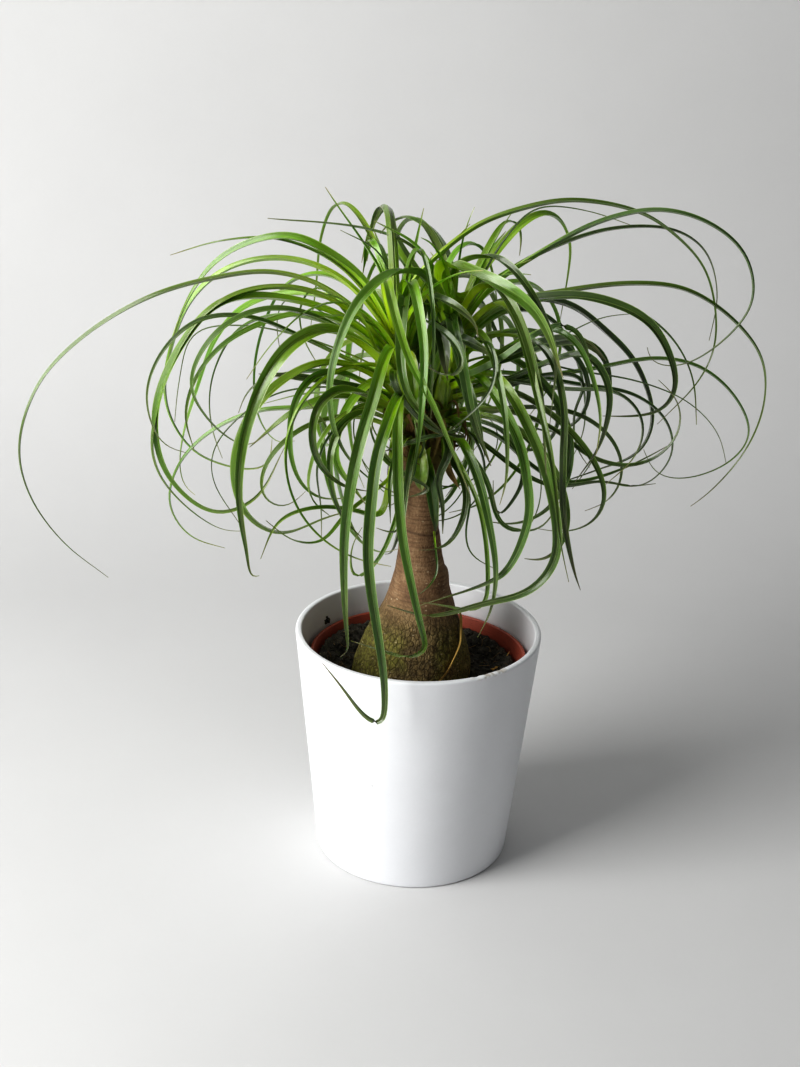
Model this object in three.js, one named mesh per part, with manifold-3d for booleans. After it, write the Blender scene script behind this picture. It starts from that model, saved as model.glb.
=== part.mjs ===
// Potted ponytail palm: a swollen stem that forks into two leafy heads, standing in a
// nursery pot of soil inside a tapered cover pot.
// Millimetres, +Z up. The origin is the centre of the cover pot's underside, on the surface
// that it stands on. The front of the plant faces -Y.
import * as THREE from 'three';
import { mergeVertices } from 'three/addons/utils/BufferGeometryUtils.js';
import Module from 'manifold-3d';

const wasm = await Module();
wasm.setup();

// ---- Driving dimensions ----------------------------------------------------------------

const gap = 0.3;                // clearance between pieces that touch

const coverPot = {
  height: 187,
  rimRadius: 95,
  baseRadius: 76,
  wall: 5,
  floor: 6,
  baseRound: 4,                 // rounding where the wall meets the underside
};

const nurseryPot = {
  rimTop: 165,
  rimRadius: 84,
  rimBand: 11,                  // height of the stiffening band under the rim
  bandStep: 2.6,                // how far the band stands out from the wall
  baseRadius: 58,
  wall: 2,
  holeCount: 6,
  holeRadius: 5,
  holeCircle: 38,
};

const soil = {
  level: 148,
  unevenness: 2.2,
  socketRadius: 47.2,           // the plain hole that the swollen stem stands in
  socketDepth: 34,
};

// Swollen stem: height, centre x and radius of its rings, from its underside up to the fork.
const stemStations = [
  [114, -5, 38],
  [126, -5, 45],
  [148, -5, 46.4],
  [160, -4.2, 45],
  [175, -2.6, 40],
  [189, -1.2, 34.8],
  [210, 0.2, 26.8],
  [229, 0.8, 21.9],
  [260, 0, 18.5],
  [285, -1, 15.8],
  [300, -1, 14],
  [318, -1, 12.6],
];
const stemSides = 28;
const barkDepth = 0.7;          // relief of the bark above the soil

// Each head grows from one branch of the fork: where its core starts, where it ends, and radii.
const heads = {
  left: { foot: [-11.5, -4, 337], tip: [-24, -2, 424], footRadius: 7.4, midRadius: 9.5, tipRadius: 5 },
  right: { foot: [6.5, 4, 337], tip: [21, 6, 432], footRadius: 7.4, midRadius: 9.5, tipRadius: 5 },
};

const dryLeaf = {
  top: 206,
  foot: 160,
  topAzimuth: -4,
  footAzimuth: -68,
  standOff: 2.6,                // from the mean bark surface to the leaf's midrib
  width: 4,
};

const straw = {
  radius: 0.9,
  route: [[58, 4, 1.4], [67, 14, 4], [73, 23, 9]],
};

const rootDepth = 7;            // how far below its first station a leaf is rooted in the core
const leafClearance = 0.5;      // between a leaf and the pieces of other nodes
const leafTurns = [0, 2, -2, 4, -4, 7, -7, 10, -10, 14, -14, 19, -19, 25, -25];

const blade = {
  keelDepth: 1.5,               // depth of the blade's channel section at its foot
  tipKeelDepth: 0.8,
  tipWidth: 1.5,
  segmentLength: 27,            // aim for the length of one facet along a blade
  fewestSegments: 7,
  mostSegments: 18,
};

// ---- Leaves ----------------------------------------------------------------------------
// One row a leaf: azimuth of the vertical plane that it grows in (0 is +X, -90 the front),
// blade width, and the route of its midrib as [reach, height] or [reach, height, aside].
// Reach is measured from the head's axis, height from the surface, and aside is how far the
// midrib drifts out of its plane, counter-clockwise seen from above.

const leftLeaves = [
  [183, 10, [[4, 416], [28, 436], [58, 456], [91, 464], [125, 460], [175, 445], [224, 415],
    [258, 379], [275, 330], [269, 292], [246, 255], [214, 227]]],
  [172, 10, [[4, 420], [26, 457], [52, 476], [78, 486], [108, 480], [134, 464], [152, 440],
    [164, 414], [171, 388]]],
  [165, 9, [[4, 415], [38, 453], [69, 466], [102, 466], [134, 454], [159, 430], [174, 397],
    [182, 360], [177, 335], [159, 312], [134, 304], [113, 303], [97, 311, 4], [93, 332, 8]]],
  [190, 9, [[4, 402], [28, 431], [58, 450], [88, 456], [118, 451], [142, 435], [160, 408],
    [174, 370], [179, 338], [174, 318], [162, 300], [142, 281], [126, 272], [115, 272]]],
  [196, 7, [[5, 384], [42, 404], [77, 422], [108, 435], [134, 438], [156, 432], [176, 414],
    [186, 386], [184, 362], [174, 345], [159, 338]]],
  [186, 11, [[4, 407], [32, 438], [62, 451], [89, 447], [122, 427], [151, 398], [168, 368],
    [172, 341], [167, 314], [154, 294], [136, 286], [114, 286]]],
  [150, 10, [[4, 405], [44, 434], [93, 436], [138, 418], [164, 389], [181, 350], [197, 306],
    [202, 278], [197, 260], [187, 256]]],
  [158, 6, [[5, 396], [54, 420], [99, 422], [131, 408], [151, 378], [158, 349], [155, 322],
    [147, 302]]],
  [200, 8, [[5, 393], [52, 430], [93, 445], [128, 437], [150, 413], [155, 392], [145, 371],
    [131, 355], [113, 345], [101, 354]]],
  [212, 11, [[5, 384], [36, 417], [64, 431], [92, 424], [113, 402], [127, 370], [133, 336],
    [132, 305], [127, 275], [123, 252], [119, 257, 4]]],
  [222, 10, [[5, 378], [42, 416], [73, 431], [110, 421], [133, 394], [146, 361], [147, 330],
    [134, 307], [113, 293], [92, 290], [73, 296]]],
  [176, 9, [[5, 362], [29, 382], [55, 390], [80, 388], [105, 382], [118, 371], [124, 355]]],
  [204, 9, [[5, 362], [32, 386], [56, 398], [74, 396], [86, 380], [90, 357], [88, 333],
    [79, 313], [64, 302], [46, 301]]],
  [235, 9, [[5, 358], [51, 387], [87, 399], [107, 393], [113, 377], [108, 358], [93, 340],
    [72, 325], [46, 314]]],
  [140, 8, [[4, 406], [36, 440], [75, 451], [115, 435], [137, 401], [148, 361], [144, 325],
    [125, 308], [104, 314]]],
  [170, 7, [[5, 372], [33, 384], [64, 379], [90, 362], [116, 348], [137, 336], [159, 315],
    [175, 289], [180, 271], [172, 253], [155, 242], [137, 238]]],
  [120, 8, [[2, 420], [21, 464], [42, 489], [66, 501], [86, 500], [104, 487], [118, 465],
    [127, 434], [134, 395]]],
  [150, 5, [[2, 420], [14, 462], [31, 484], [48, 502], [63, 519]]],
  [100, 9, [[2, 420], [10, 462, 6], [24, 494, 8], [42, 506, 12], [60, 500, 20], [76, 478, 30],
    [86, 448, 38]]],
  [128, 9, [[2, 418], [12, 460], [30, 486], [54, 497], [80, 486], [100, 456], [112, 420]]],
  [188, 8, [[4, 396], [39, 427], [69, 436], [98, 430], [128, 414], [148, 389], [156, 360],
    [150, 336]]],
  [230, 8, [[5, 350], [48, 373], [72, 370], [84, 352], [81, 323], [67, 296], [48, 277]]],
  [192, 8, [[5, 346], [38, 360], [73, 355], [98, 337], [109, 314], [105, 298], [90, 292],
    [76, 304]]],
  [-90, 9, [[6, 408, -8], [22, 436, -18], [46, 424, -28], [60, 389, -33], [68, 355, -36],
    [74, 305, -38], [76, 259, -37], [76, 220, -33], [73, 199, -29], [68, 195, -36]]],
  [-90, 11, [[8, 374, 0], [34, 404, 2], [62, 409, 2], [80, 391, -3], [92, 357, -12],
    [100, 316, -17], [105, 280, -16], [109, 236, -10], [111, 190, -3], [111, 162, -5],
    [111, 164, -16], [109, 188, -32], [106, 208, -50]]],
  [-90, 11, [[7, 370, 4], [24, 386, 6], [42, 388, 3], [56, 366, 2], [64, 325, 4], [67, 288, 8],
    [71, 251, 14], [73, 222, 22], [69, 203, 28], [66, 195, 14], [64, 199, -8], [64, 206, -32]]],
  [-90, 8, [[5, 418, 2], [18, 458, -10], [32, 458, -4], [46, 436, 8], [56, 412, 18],
    [62, 386, 27]]],
  [-100, 8, [[6, 342, 2], [26, 352, 2], [42, 345, -2], [52, 322, -4], [55, 296, -2]]],
];

const rightLeaves = [
  [160, 7, [[3, 424], [17, 457], [38, 478], [71, 490], [110, 491], [152, 490]]],
  [172, 6, [[3, 424], [21, 458], [47, 475], [82, 488], [113, 495], [145, 495], [176, 488],
    [212, 477]]],
  [118, 9, [[3, 424], [22, 462], [46, 488], [70, 494], [92, 478], [106, 448], [112, 412]]],
  [100, 9, [[3, 424], [14, 466], [38, 492], [64, 494], [84, 474], [96, 440], [100, 400]]],
  [75, 9, [[3, 424], [14, 464], [40, 490], [70, 490], [98, 466], [116, 430], [120, 388]]],
  [135, 4, [[3, 424], [10, 462, -8], [12, 490, -16], [10, 508, -24]]],
  [10, 9, [[2, 424], [8, 464], [20, 488], [40, 505], [63, 515], [87, 515], [125, 507],
    [154, 491], [176, 468], [189, 440], [191, 414], [184, 389]]],
  [-8, 10, [[3, 420], [24, 455], [54, 477], [84, 498], [119, 513], [155, 514], [187, 501],
    [208, 477], [212, 450], [200, 424], [175, 408], [148, 411]]],
  [12, 8, [[3, 424], [30, 459], [62, 477], [94, 489], [137, 492], [170, 480], [191, 452],
    [196, 417], [188, 387]]],
  [35, 8, [[3, 422], [27, 463], [50, 490], [66, 500], [82, 498], [96, 480], [102, 450],
    [96, 428], [86, 412]]],
  [62, 5, [[3, 424], [20, 462], [44, 486], [66, 490], [86, 474], [94, 446]]],
  [-38, 12, [[3, 424], [3, 452], [14, 470], [38, 470], [60, 456], [80, 434], [94, 408],
    [100, 382], [96, 356], [86, 330]]],
  [-30, 8, [[3, 422], [6, 464], [24, 479], [42, 474], [58, 454], [71, 432], [81, 409],
    [84, 386], [80, 361]]],
  [5, 9, [[4, 414], [30, 444], [65, 448], [101, 453], [140, 456], [180, 445], [214, 418],
    [234, 380], [233, 342], [212, 308], [186, 290]]],
  [-12, 11, [[4, 410], [30, 444], [60, 453], [90, 453], [119, 444], [142, 424], [154, 398],
    [155, 371], [145, 351]]],
  [20, 10, [[4, 416], [32, 443], [60, 445], [88, 429], [116, 400], [140, 367], [150, 331],
    [145, 300], [120, 286], [92, 290]]],
  [28, 9, [[4, 402], [30, 427], [60, 432], [87, 420], [107, 394], [119, 361], [121, 329],
    [110, 305]]],
  [-35, 9, [[5, 384], [36, 408], [65, 428], [89, 440], [108, 432], [122, 409], [130, 382],
    [128, 357]]],
  [14, 12, [[5, 382], [43, 399], [75, 407], [104, 410], [121, 398], [127, 375], [126, 344],
    [119, 317], [104, 294]]],
  [-55, 10, [[4, 408], [30, 440], [52, 455], [69, 450], [84, 430], [101, 397], [115, 370],
    [125, 341], [133, 307], [146, 279]]],
  [-90, 11, [[10, 380, 12], [24, 392, 30], [38, 377, 50], [52, 349, 66], [60, 318, 75],
    [64, 289, 79], [64, 267, 75], [62, 247, 56], [60, 236, 24], [58, 224, -12], [56, 229, -42]]],
  [-90, 10, [[8, 372, 6], [30, 398, 16], [48, 384, 38], [58, 348, 52], [61, 314, 58],
    [60, 282, 54], [56, 258, 42], [50, 246, 28]]],
  [-90, 9, [[7, 342, 10], [28, 348, 18], [44, 330, 30], [55, 299, 40], [61, 262, 47],
    [61, 230, 45], [58, 206, 36]]],
  [-90, 10, [[8, 400, 2], [16, 448, -8], [34, 472, -26], [50, 474, -46], [60, 457, -66],
    [67, 430, -78], [70, 400, -84], [70, 367, -80], [65, 340, -66], [56, 322, -48],
    [48, 310, -28]]],
  [-90, 10, [[7, 410, 0], [18, 458, -10], [34, 470, -24], [52, 462, -30], [66, 438, -28],
    [72, 406, -24], [74, 378, -23], [73, 349, -26], [70, 304, -32]]],
  [-90, 11, [[6, 420, 2], [16, 466, 0], [34, 480, 8], [54, 476, 22], [70, 458, 36],
    [80, 432, 46], [86, 400, 56], [88, 368, 64]]],
  [-90, 8, [[6, 340, -2], [32, 344, -6], [54, 318, -10], [64, 284, -12], [66, 252, -16]]],
  [-25, 9, [[5, 370], [47, 385], [78, 376], [106, 358], [124, 337], [130, 317], [122, 298],
    [102, 286], [80, 284]]],
  [8, 7, [[5, 374], [48, 384], [100, 387], [152, 394], [195, 383], [222, 352], [226, 328],
    [205, 308], [175, 306], [154, 322]]],
  [-18, 8, [[5, 360], [46, 368], [87, 358], [112, 342], [141, 338], [163, 347, 4], [176, 367, 9],
    [172, 388, 14], [156, 400, 18]]],
  [-60, 9, [[4, 398], [23, 429], [48, 427], [70, 398], [80, 367], [83, 335], [76, 314]]],
  [0, 8, [[5, 352], [41, 345], [71, 320], [94, 308], [116, 311], [146, 324], [174, 342]]],
];

// Leaves that fill out the heads all round, most of them behind, laid by one rule: each
// rises from the core, bows over and hangs, and the lowest and oldest curl right under.
const fillLeaves = {
  left: { count: 13, firstAzimuth: 68, lastAzimuth: 172 },
  right: { count: 14, firstAzimuth: -5, lastAzimuth: 112 },
  shortest: 210,
  longest: 310,
  narrowest: 7,
  widest: 10,
};

// ---- Closed meshes and solids ----------------------------------------------------------

function solidFromGeometry(geometry) {
  const bare = geometry.index ? geometry.clone() : mergeVertices(geometry);
  bare.deleteAttribute('normal');
  bare.deleteAttribute('uv');
  const merged = mergeVertices(bare, 1e-4);
  const vertProperties = new Float32Array(merged.attributes.position.array);
  const triVerts = new Uint32Array(merged.index.array);
  return new wasm.Manifold(new wasm.Mesh({ numProp: 3, vertProperties, triVerts }));
}

function geometryFromSolid(solid) {
  const mesh = solid.getMesh();
  const geometry = new THREE.BufferGeometry();
  const positions = new Float32Array(mesh.vertProperties);
  geometry.setAttribute('position', new THREE.BufferAttribute(positions, 3));
  geometry.setIndex(new THREE.BufferAttribute(new Uint32Array(mesh.triVerts), 1));
  geometry.computeVertexNormals();
  return geometry;
}

// The outer body alone: hollows that the fusing sealed are filled.
function filled(solid) {
  return solid.decompose().reduce((main, body) => (body.volume() > main.volume() ? body : main));
}

// Skin through closed rings of equal point count, with a fan on the first and last ring.
function loftRings(rings) {
  const sides = rings[0].length;
  const positions = rings.flat().flatMap((p) => [p.x, p.y, p.z]);
  const index = [];
  for (let ring = 0; ring + 1 < rings.length; ring += 1) {
    for (let side = 0; side < sides; side += 1) {
      const a = ring * sides + side;
      const b = ring * sides + ((side + 1) % sides);
      index.push(a, b, b + sides, a, b + sides, a + sides);
    }
  }
  const last = (rings.length - 1) * sides;
  for (let side = 1; side + 1 < sides; side += 1) {
    index.push(0, side + 1, side);
    index.push(last, last + side, last + side + 1);
  }
  const geometry = new THREE.BufferGeometry();
  geometry.setAttribute('position', new THREE.Float32BufferAttribute(positions, 3));
  geometry.setIndex(index);
  geometry.computeVertexNormals();
  return geometry;
}

// A closed [radius, height] outline spun round the Z axis.
function spin(outline, segments) {
  const profile = outline.map(([radius, height]) => new THREE.Vector2(radius, height));
  return new THREE.LatheGeometry(profile, segments).rotateX(Math.PI / 2);
}

const random = (() => {
  let state = 20260;
  return () => {
    state = (state * 1664525 + 1013904223) % 4294967296;
    return state / 4294967296;
  };
})();

const mix = (from, to, share) => from + (to - from) * share;

// ---- Pots ------------------------------------------------------------------------------

function coverPotGeometry() {
  const { height, rimRadius, baseRadius, wall, floor, baseRound } = coverPot;
  const slope = (rimRadius - baseRadius) / height;
  const outerAt = (z) => baseRadius + slope * z;
  const rimRound = wall / 2;
  const rimCentre = outerAt(height) - rimRound;
  const outline = [[0, 0], [baseRadius - baseRound, 0]];
  for (const turn of [30, 60]) {
    const angle = THREE.MathUtils.degToRad(turn);
    const radius = baseRadius - baseRound + baseRound * Math.sin(angle);
    outline.push([radius, baseRound - baseRound * Math.cos(angle)]);
  }
  outline.push([outerAt(baseRound), baseRound]);
  for (const turn of [0, 45, 90, 135, 180]) {
    const angle = THREE.MathUtils.degToRad(turn);
    outline.push([rimCentre + rimRound * Math.cos(angle), height - rimRound + rimRound * Math.sin(angle)]);
  }
  outline.push([outerAt(floor + 3) - wall, floor + 3]);
  outline.push([outerAt(floor) - wall - 3, floor]);
  outline.push([0, floor]);
  return spin(outline, 56);
}

function nurseryPotGeometry() {
  const { rimTop, rimRadius, rimBand, bandStep, baseRadius, wall } = nurseryPot;
  const foot = coverPot.floor + gap;
  const shoulder = rimTop - rimBand;
  const wallRadius = rimRadius - bandStep;
  const outline = [
    [0, foot],
    [baseRadius, foot],
    [wallRadius, shoulder],
    [rimRadius, shoulder],
    [rimRadius + 0.4, rimTop - 1.5],
    [rimRadius - 0.6, rimTop],
    [rimRadius - 2, rimTop],
    [rimRadius - bandStep, rimTop - 1.5],
    [wallRadius - wall, shoulder - 1],
    [baseRadius - wall, foot + wall],
    [0, foot + wall],
  ];
  let pot = solidFromGeometry(spin(outline, 40));
  for (let hole = 0; hole < nurseryPot.holeCount; hole += 1) {
    const angle = (hole / nurseryPot.holeCount) * 2 * Math.PI;
    const drill = new THREE.CylinderGeometry(nurseryPot.holeRadius, nurseryPot.holeRadius, 20, 10);
    drill.rotateX(Math.PI / 2);
    drill.translate(nurseryPot.holeCircle * Math.cos(angle), nurseryPot.holeCircle * Math.sin(angle), foot);
    pot = pot.subtract(solidFromGeometry(drill));
  }
  return geometryFromSolid(pot);
}

// ---- Soil ------------------------------------------------------------------------------

// Height of the soil: low swells and crumbs from a few crossing waves.
function soilHeight(x, y) {
  const swell = Math.sin(x * 0.11 + 1.3) * Math.cos(y * 0.13 - 0.4);
  const crumb = Math.sin(x * 0.47 + y * 0.31) * Math.sin(y * 0.53 - x * 0.22 + 2);
  return soil.level + soil.unevenness * (0.5 * swell + 0.5 * crumb);
}

function soilGeometry() {
  const foot = coverPot.floor + gap + nurseryPot.wall + gap;
  const potInner = nurseryPot.rimRadius - nurseryPot.bandStep - nurseryPot.wall;
  const footRadius = nurseryPot.baseRadius - nurseryPot.wall - 1.2;
  const edgeRadius = mix(footRadius, potInner, (soil.level - foot) / (nurseryPot.rimTop - foot)) - 0.4;
  const sides = 36;
  const ring = (radius, height) => Array.from({ length: sides }, (_, side) => {
    const angle = (side / sides) * 2 * Math.PI;
    const x = radius * Math.cos(angle);
    const y = radius * Math.sin(angle);
    return new THREE.Vector3(x, y, height ?? soilHeight(x, y));
  });
  const topRadii = [edgeRadius, 72, 66, 60, 54, 48, 40, 20, 4];
  const rings = [ring(footRadius, foot), ...topRadii.map((radius) => ring(radius))];
  const socket = new THREE.CylinderGeometry(soil.socketRadius, soil.socketRadius, 80, 48);
  socket.rotateX(Math.PI / 2);
  socket.translate(stemStations[0][1], 0, soil.level - soil.socketDepth - gap + 40);
  return geometryFromSolid(solidFromGeometry(loftRings(rings)).subtract(solidFromGeometry(socket)));
}

// ---- Swollen stem and fork -------------------------------------------------------------

// Centre x and radius of the stem at one height, eased between its stations.
function stemAt(height) {
  const last = stemStations.length - 1;
  const above = stemStations.findIndex(([z]) => z >= height);
  const upper = above < 0 ? last : Math.max(above, 1);
  const [z0, x0, r0] = stemStations[upper - 1];
  const [z1, x1, r1] = stemStations[upper];
  const share = THREE.MathUtils.clamp((height - z0) / (z1 - z0), 0, 1);
  return { x: mix(x0, x1, share), radius: mix(r0, r1, share) };
}

// Bark relief: broken plates on the swelling, turning to ring scars up the stem.
function barkRelief(angle, height) {
  if (height < soil.level + 6) {
    return 0;
  }
  const plates = Math.sin(angle * 7 + height * 0.21) * Math.sin(height * 0.33 - angle * 3);
  const rings = Math.sin(height * 0.9);
  const upTheStem = THREE.MathUtils.smoothstep(height, 200, 260);
  return barkDepth * mix(plates, rings * 0.8, upTheStem);
}

function stemRing(height) {
  const { x, radius } = stemAt(height);
  return Array.from({ length: stemSides }, (_, side) => {
    const angle = (side / stemSides) * 2 * Math.PI;
    const reach = radius + barkRelief(angle, height);
    return new THREE.Vector3(x + reach * Math.cos(angle), reach * Math.sin(angle), height);
  });
}

// A round-sided tapering limb through the given points. An upright limb's rings lie level.
function limb(points, radii, sides, upright) {
  const curve = new THREE.CatmullRomCurve3(points.map((p) => new THREE.Vector3(...p)));
  const steps = (points.length - 1) * 3;
  const rings = [];
  for (let step = 0; step <= steps; step += 1) {
    const share = step / steps;
    const centre = curve.getPoint(share);
    const along = upright ? new THREE.Vector3(0, 0, 1) : curve.getTangent(share);
    const across = new THREE.Vector3(0, 1, 0).cross(along).normalize();
    const up = along.clone().cross(across);
    const place = share * (radii.length - 1);
    const lower = Math.min(Math.floor(place), radii.length - 2);
    const radius = mix(radii[lower], radii[lower + 1], place - lower);
    rings.push(Array.from({ length: sides }, (_, side) => {
      const angle = (side / sides) * 2 * Math.PI;
      return centre.clone()
        .addScaledVector(across, radius * Math.cos(angle))
        .addScaledVector(up, radius * Math.sin(angle));
    }));
  }
  return solidFromGeometry(loftRings(rings));
}

function trunkSolid() {
  const first = stemStations[0][0];
  const last = stemStations[stemStations.length - 1][0];
  const rings = [];
  for (let height = first; height < last - 1; height += height < 150 ? 12 : 8) {
    rings.push(stemRing(height));
  }
  rings.push(stemRing(last));
  let trunk = solidFromGeometry(loftRings(rings));
  for (const { foot, footRadius } of Object.values(heads)) {
    const bend = [foot[0] * 0.75, foot[1] * 0.7, 322];
    const branch = limb([[-1, 0, 306], bend, foot], [11.5, 9.5, footRadius + 0.4], 14, true);
    trunk = trunk.add(branch);
  }
  return trunk;
}

// ---- Leaves ----------------------------------------------------------------------------

function headAxisAt(head, height) {
  const share = THREE.MathUtils.clamp((height - head.foot[2]) / (head.tip[2] - head.foot[2]), 0, 1);
  return { x: mix(head.foot[0], head.tip[0], share), y: mix(head.foot[1], head.tip[1], share) };
}

// Even points along a leaf's midrib, its slope there and the direction across the blade.
function midrib(head, azimuth, route) {
  const angle = THREE.MathUtils.degToRad(azimuth);
  const out = new THREE.Vector3(Math.cos(angle), Math.sin(angle), 0);
  const across = new THREE.Vector3(-Math.sin(angle), Math.cos(angle), 0);
  const axis = headAxisAt(head, route[0][1]);
  const root = [0.5, Math.max(route[0][1] - rootDepth, head.foot[2] + 4)];
  const stations = [root, ...route].map(([reach, height, aside = 0]) => new THREE.Vector3(axis.x, axis.y, height)
    .addScaledVector(out, reach)
    .addScaledVector(across, aside));
  const curve = new THREE.CatmullRomCurve3(stations, false, 'centripetal');
  const wanted = Math.round(curve.getLength() / blade.segmentLength);
  const segments = THREE.MathUtils.clamp(wanted, blade.fewestSegments, blade.mostSegments);
  const points = curve.getSpacedPoints(segments);
  const slopes = points.map((_, i) => curve.getTangentAt(i / segments));
  const sides = slopes.map((along) => across.clone().addScaledVector(along, -across.dot(along)).normalize());
  return { points, slopes, sides };
}

// One blade: a shallow keeled strip that narrows to a whip tip. Extra fattens it on all sides.
function bladeSolid({ points, slopes, sides }, width, extra = 0) {
  const last = points.length - 1;
  const rings = points.map((point, i) => {
    const share = i / last;
    const side = sides[i];
    const face = slopes[i].clone().cross(side).negate();
    const taper = 1 - share ** 1.5;
    const half = mix(blade.tipWidth, width, taper) / 2 + extra;
    const keel = mix(blade.tipKeelDepth, blade.keelDepth, taper) + extra;
    return [
      point.clone().addScaledVector(side, -half).addScaledVector(face, -0.12 * half - extra),
      point.clone().addScaledVector(face, keel),
      point.clone().addScaledVector(side, half).addScaledVector(face, -0.12 * half - extra),
    ];
  });
  return solidFromGeometry(loftRings(rings));
}

// The route of one fill leaf, walked out step by step as its pitch falls.
function fillRoute(rise, length, droop, height) {
  const steps = 9;
  const route = [[4, height]];
  let [reach, level] = route[0];
  for (let step = 0; step < steps; step += 1) {
    const share = (step + 0.5) / steps;
    const pitch = THREE.MathUtils.degToRad(rise - droop * share ** 0.85);
    reach += (length / steps) * Math.cos(pitch);
    level += (length / steps) * Math.sin(pitch);
    route.push([reach, level, 14 * share * share]);
  }
  return route;
}

function fillRows(head, { count, firstAzimuth, lastAzimuth }) {
  return Array.from({ length: count }, (_, i) => {
    const share = i / (count - 1);
    const age = random();
    const azimuth = mix(firstAzimuth, lastAzimuth, ((i * 0.618) % 1)) + 6 * (random() - 0.5);
    const height = mix(head.tip[2] - 8, head.foot[2] + 12, age);
    const rise = mix(84, 28, age) + 10 * (random() - 0.5);
    const length = mix(fillLeaves.shortest, fillLeaves.longest, random());
    const droop = mix(215, 265, share);
    const width = mix(fillLeaves.narrowest, fillLeaves.widest, random());
    return [azimuth, width, fillRoute(rise, length, droop, height)];
  });
}

// The core is the stack of leaf feet round the growing tip.
function coreSolid(head) {
  const foot = [head.foot[0], head.foot[1], head.foot[2] + gap];
  const middle = foot.map((value, i) => mix(value, head.tip[i], 0.5));
  return limb([foot, middle, head.tip], [head.footRadius, head.midRadius, head.tipRadius], 12, true);
}

// Every leaf of a head, each turned by the smallest step that clears the pieces of other nodes.
// A leaf that no step clears is left out.
function headSolid(head, rows, others) {
  const leaves = [];
  for (const [azimuth, width, route] of rows) {
    const isClear = (rib) => {
      const swollen = bladeSolid(rib, width, leafClearance);
      return others.every((other) => other.intersect(swollen).volume() === 0);
    };
    const rib = leafTurns.map((turn) => midrib(head, azimuth + turn, route)).find(isClear);
    if (rib) {
      leaves.push(bladeSolid(rib, width));
    }
  }
  return filled(wasm.Manifold.union([coreSolid(head), ...leaves]));
}

// ---- Dead scraps -----------------------------------------------------------------------

// A shed leaf that lies down the right front of the swelling, just off its bark.
function dryLeafSolid() {
  const steps = 9;
  const stations = Array.from({ length: steps + 1 }, (_, i) => {
    const share = i / steps;
    const angle = THREE.MathUtils.degToRad(mix(dryLeaf.topAzimuth, dryLeaf.footAzimuth, share));
    const height = mix(dryLeaf.top, dryLeaf.foot, share);
    const { x, radius } = stemAt(height);
    const outward = new THREE.Vector3(Math.cos(angle), Math.sin(angle), 0);
    const centre = new THREE.Vector3(x, 0, height);
    return { outward, point: centre.addScaledVector(outward, radius + dryLeaf.standOff) };
  });
  const curve = new THREE.CatmullRomCurve3(stations.map(({ point }) => point));
  const points = stations.map((_, i) => curve.getPoint(i / steps));
  const slopes = stations.map((_, i) => curve.getTangent(i / steps));
  const sides = stations.map(({ outward }, i) => outward.clone().cross(slopes[i]).normalize());
  return bladeSolid({ points, slopes, sides }, dryLeaf.width);
}

// A straw that leans from the soil towards the nursery pot's rim.
function strawSolid() {
  const points = straw.route.map(([x, y, lift]) => [x, y, soilHeight(x, y) + lift]);
  return limb(points, [straw.radius, straw.radius, straw.radius], 6, false);
}

// ---- Assembly --------------------------------------------------------------------------

const ceramic = new THREE.MeshStandardMaterial({ color: 0xeeeeec, roughness: 0.35, metalness: 0 });
const redPlastic = new THREE.MeshStandardMaterial({ color: 0xa8483a, roughness: 0.5, metalness: 0 });
const darkSoil = new THREE.MeshStandardMaterial({ color: 0x1f1b18, roughness: 1, metalness: 0 });
const bark = new THREE.MeshStandardMaterial({ color: 0x7b6440, roughness: 0.85, metalness: 0 });
const strawTan = new THREE.MeshStandardMaterial({ color: 0xb08a4e, roughness: 0.8, metalness: 0 });
const leafGreen = new THREE.MeshStandardMaterial({ color: 0x4e8a2e, roughness: 0.4, metalness: 0 });

const plant = new THREE.Group();
plant.name = 'potted_ponytail_palm';

function addPiece(name, geometry, material) {
  const mesh = new THREE.Mesh(geometry, material);
  mesh.name = name;
  plant.add(mesh);
}

const cover = coverPotGeometry();
const nursery = nurseryPotGeometry();
const earth = soilGeometry();
const trunk = trunkSolid();
addPiece('cover_pot', cover, ceramic);
addPiece('nursery_pot', nursery, redPlastic);
addPiece('soil', earth, darkSoil);
addPiece('trunk', geometryFromSolid(trunk), bark);
addPiece('dry_leaf', geometryFromSolid(dryLeafSolid()), strawTan);
addPiece('dry_straw', geometryFromSolid(strawSolid()), strawTan);

const below = [solidFromGeometry(cover), solidFromGeometry(earth), trunk, dryLeafSolid(), strawSolid()];
const leftRows = [...leftLeaves, ...fillRows(heads.left, fillLeaves.left)];
const rightRows = [...rightLeaves, ...fillRows(heads.right, fillLeaves.right)];
const rightHead = headSolid(heads.right, rightRows, [...below, coreSolid(heads.left)]);
const leftHead = headSolid(heads.left, leftRows, [...below, rightHead]);
addPiece('right_head', geometryFromSolid(rightHead), leafGreen);
addPiece('left_head', geometryFromSolid(leftHead), leafGreen);

export default plant;
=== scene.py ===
import math

import bpy
import numpy as np
from mathutils import Matrix, Vector, noise


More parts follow.
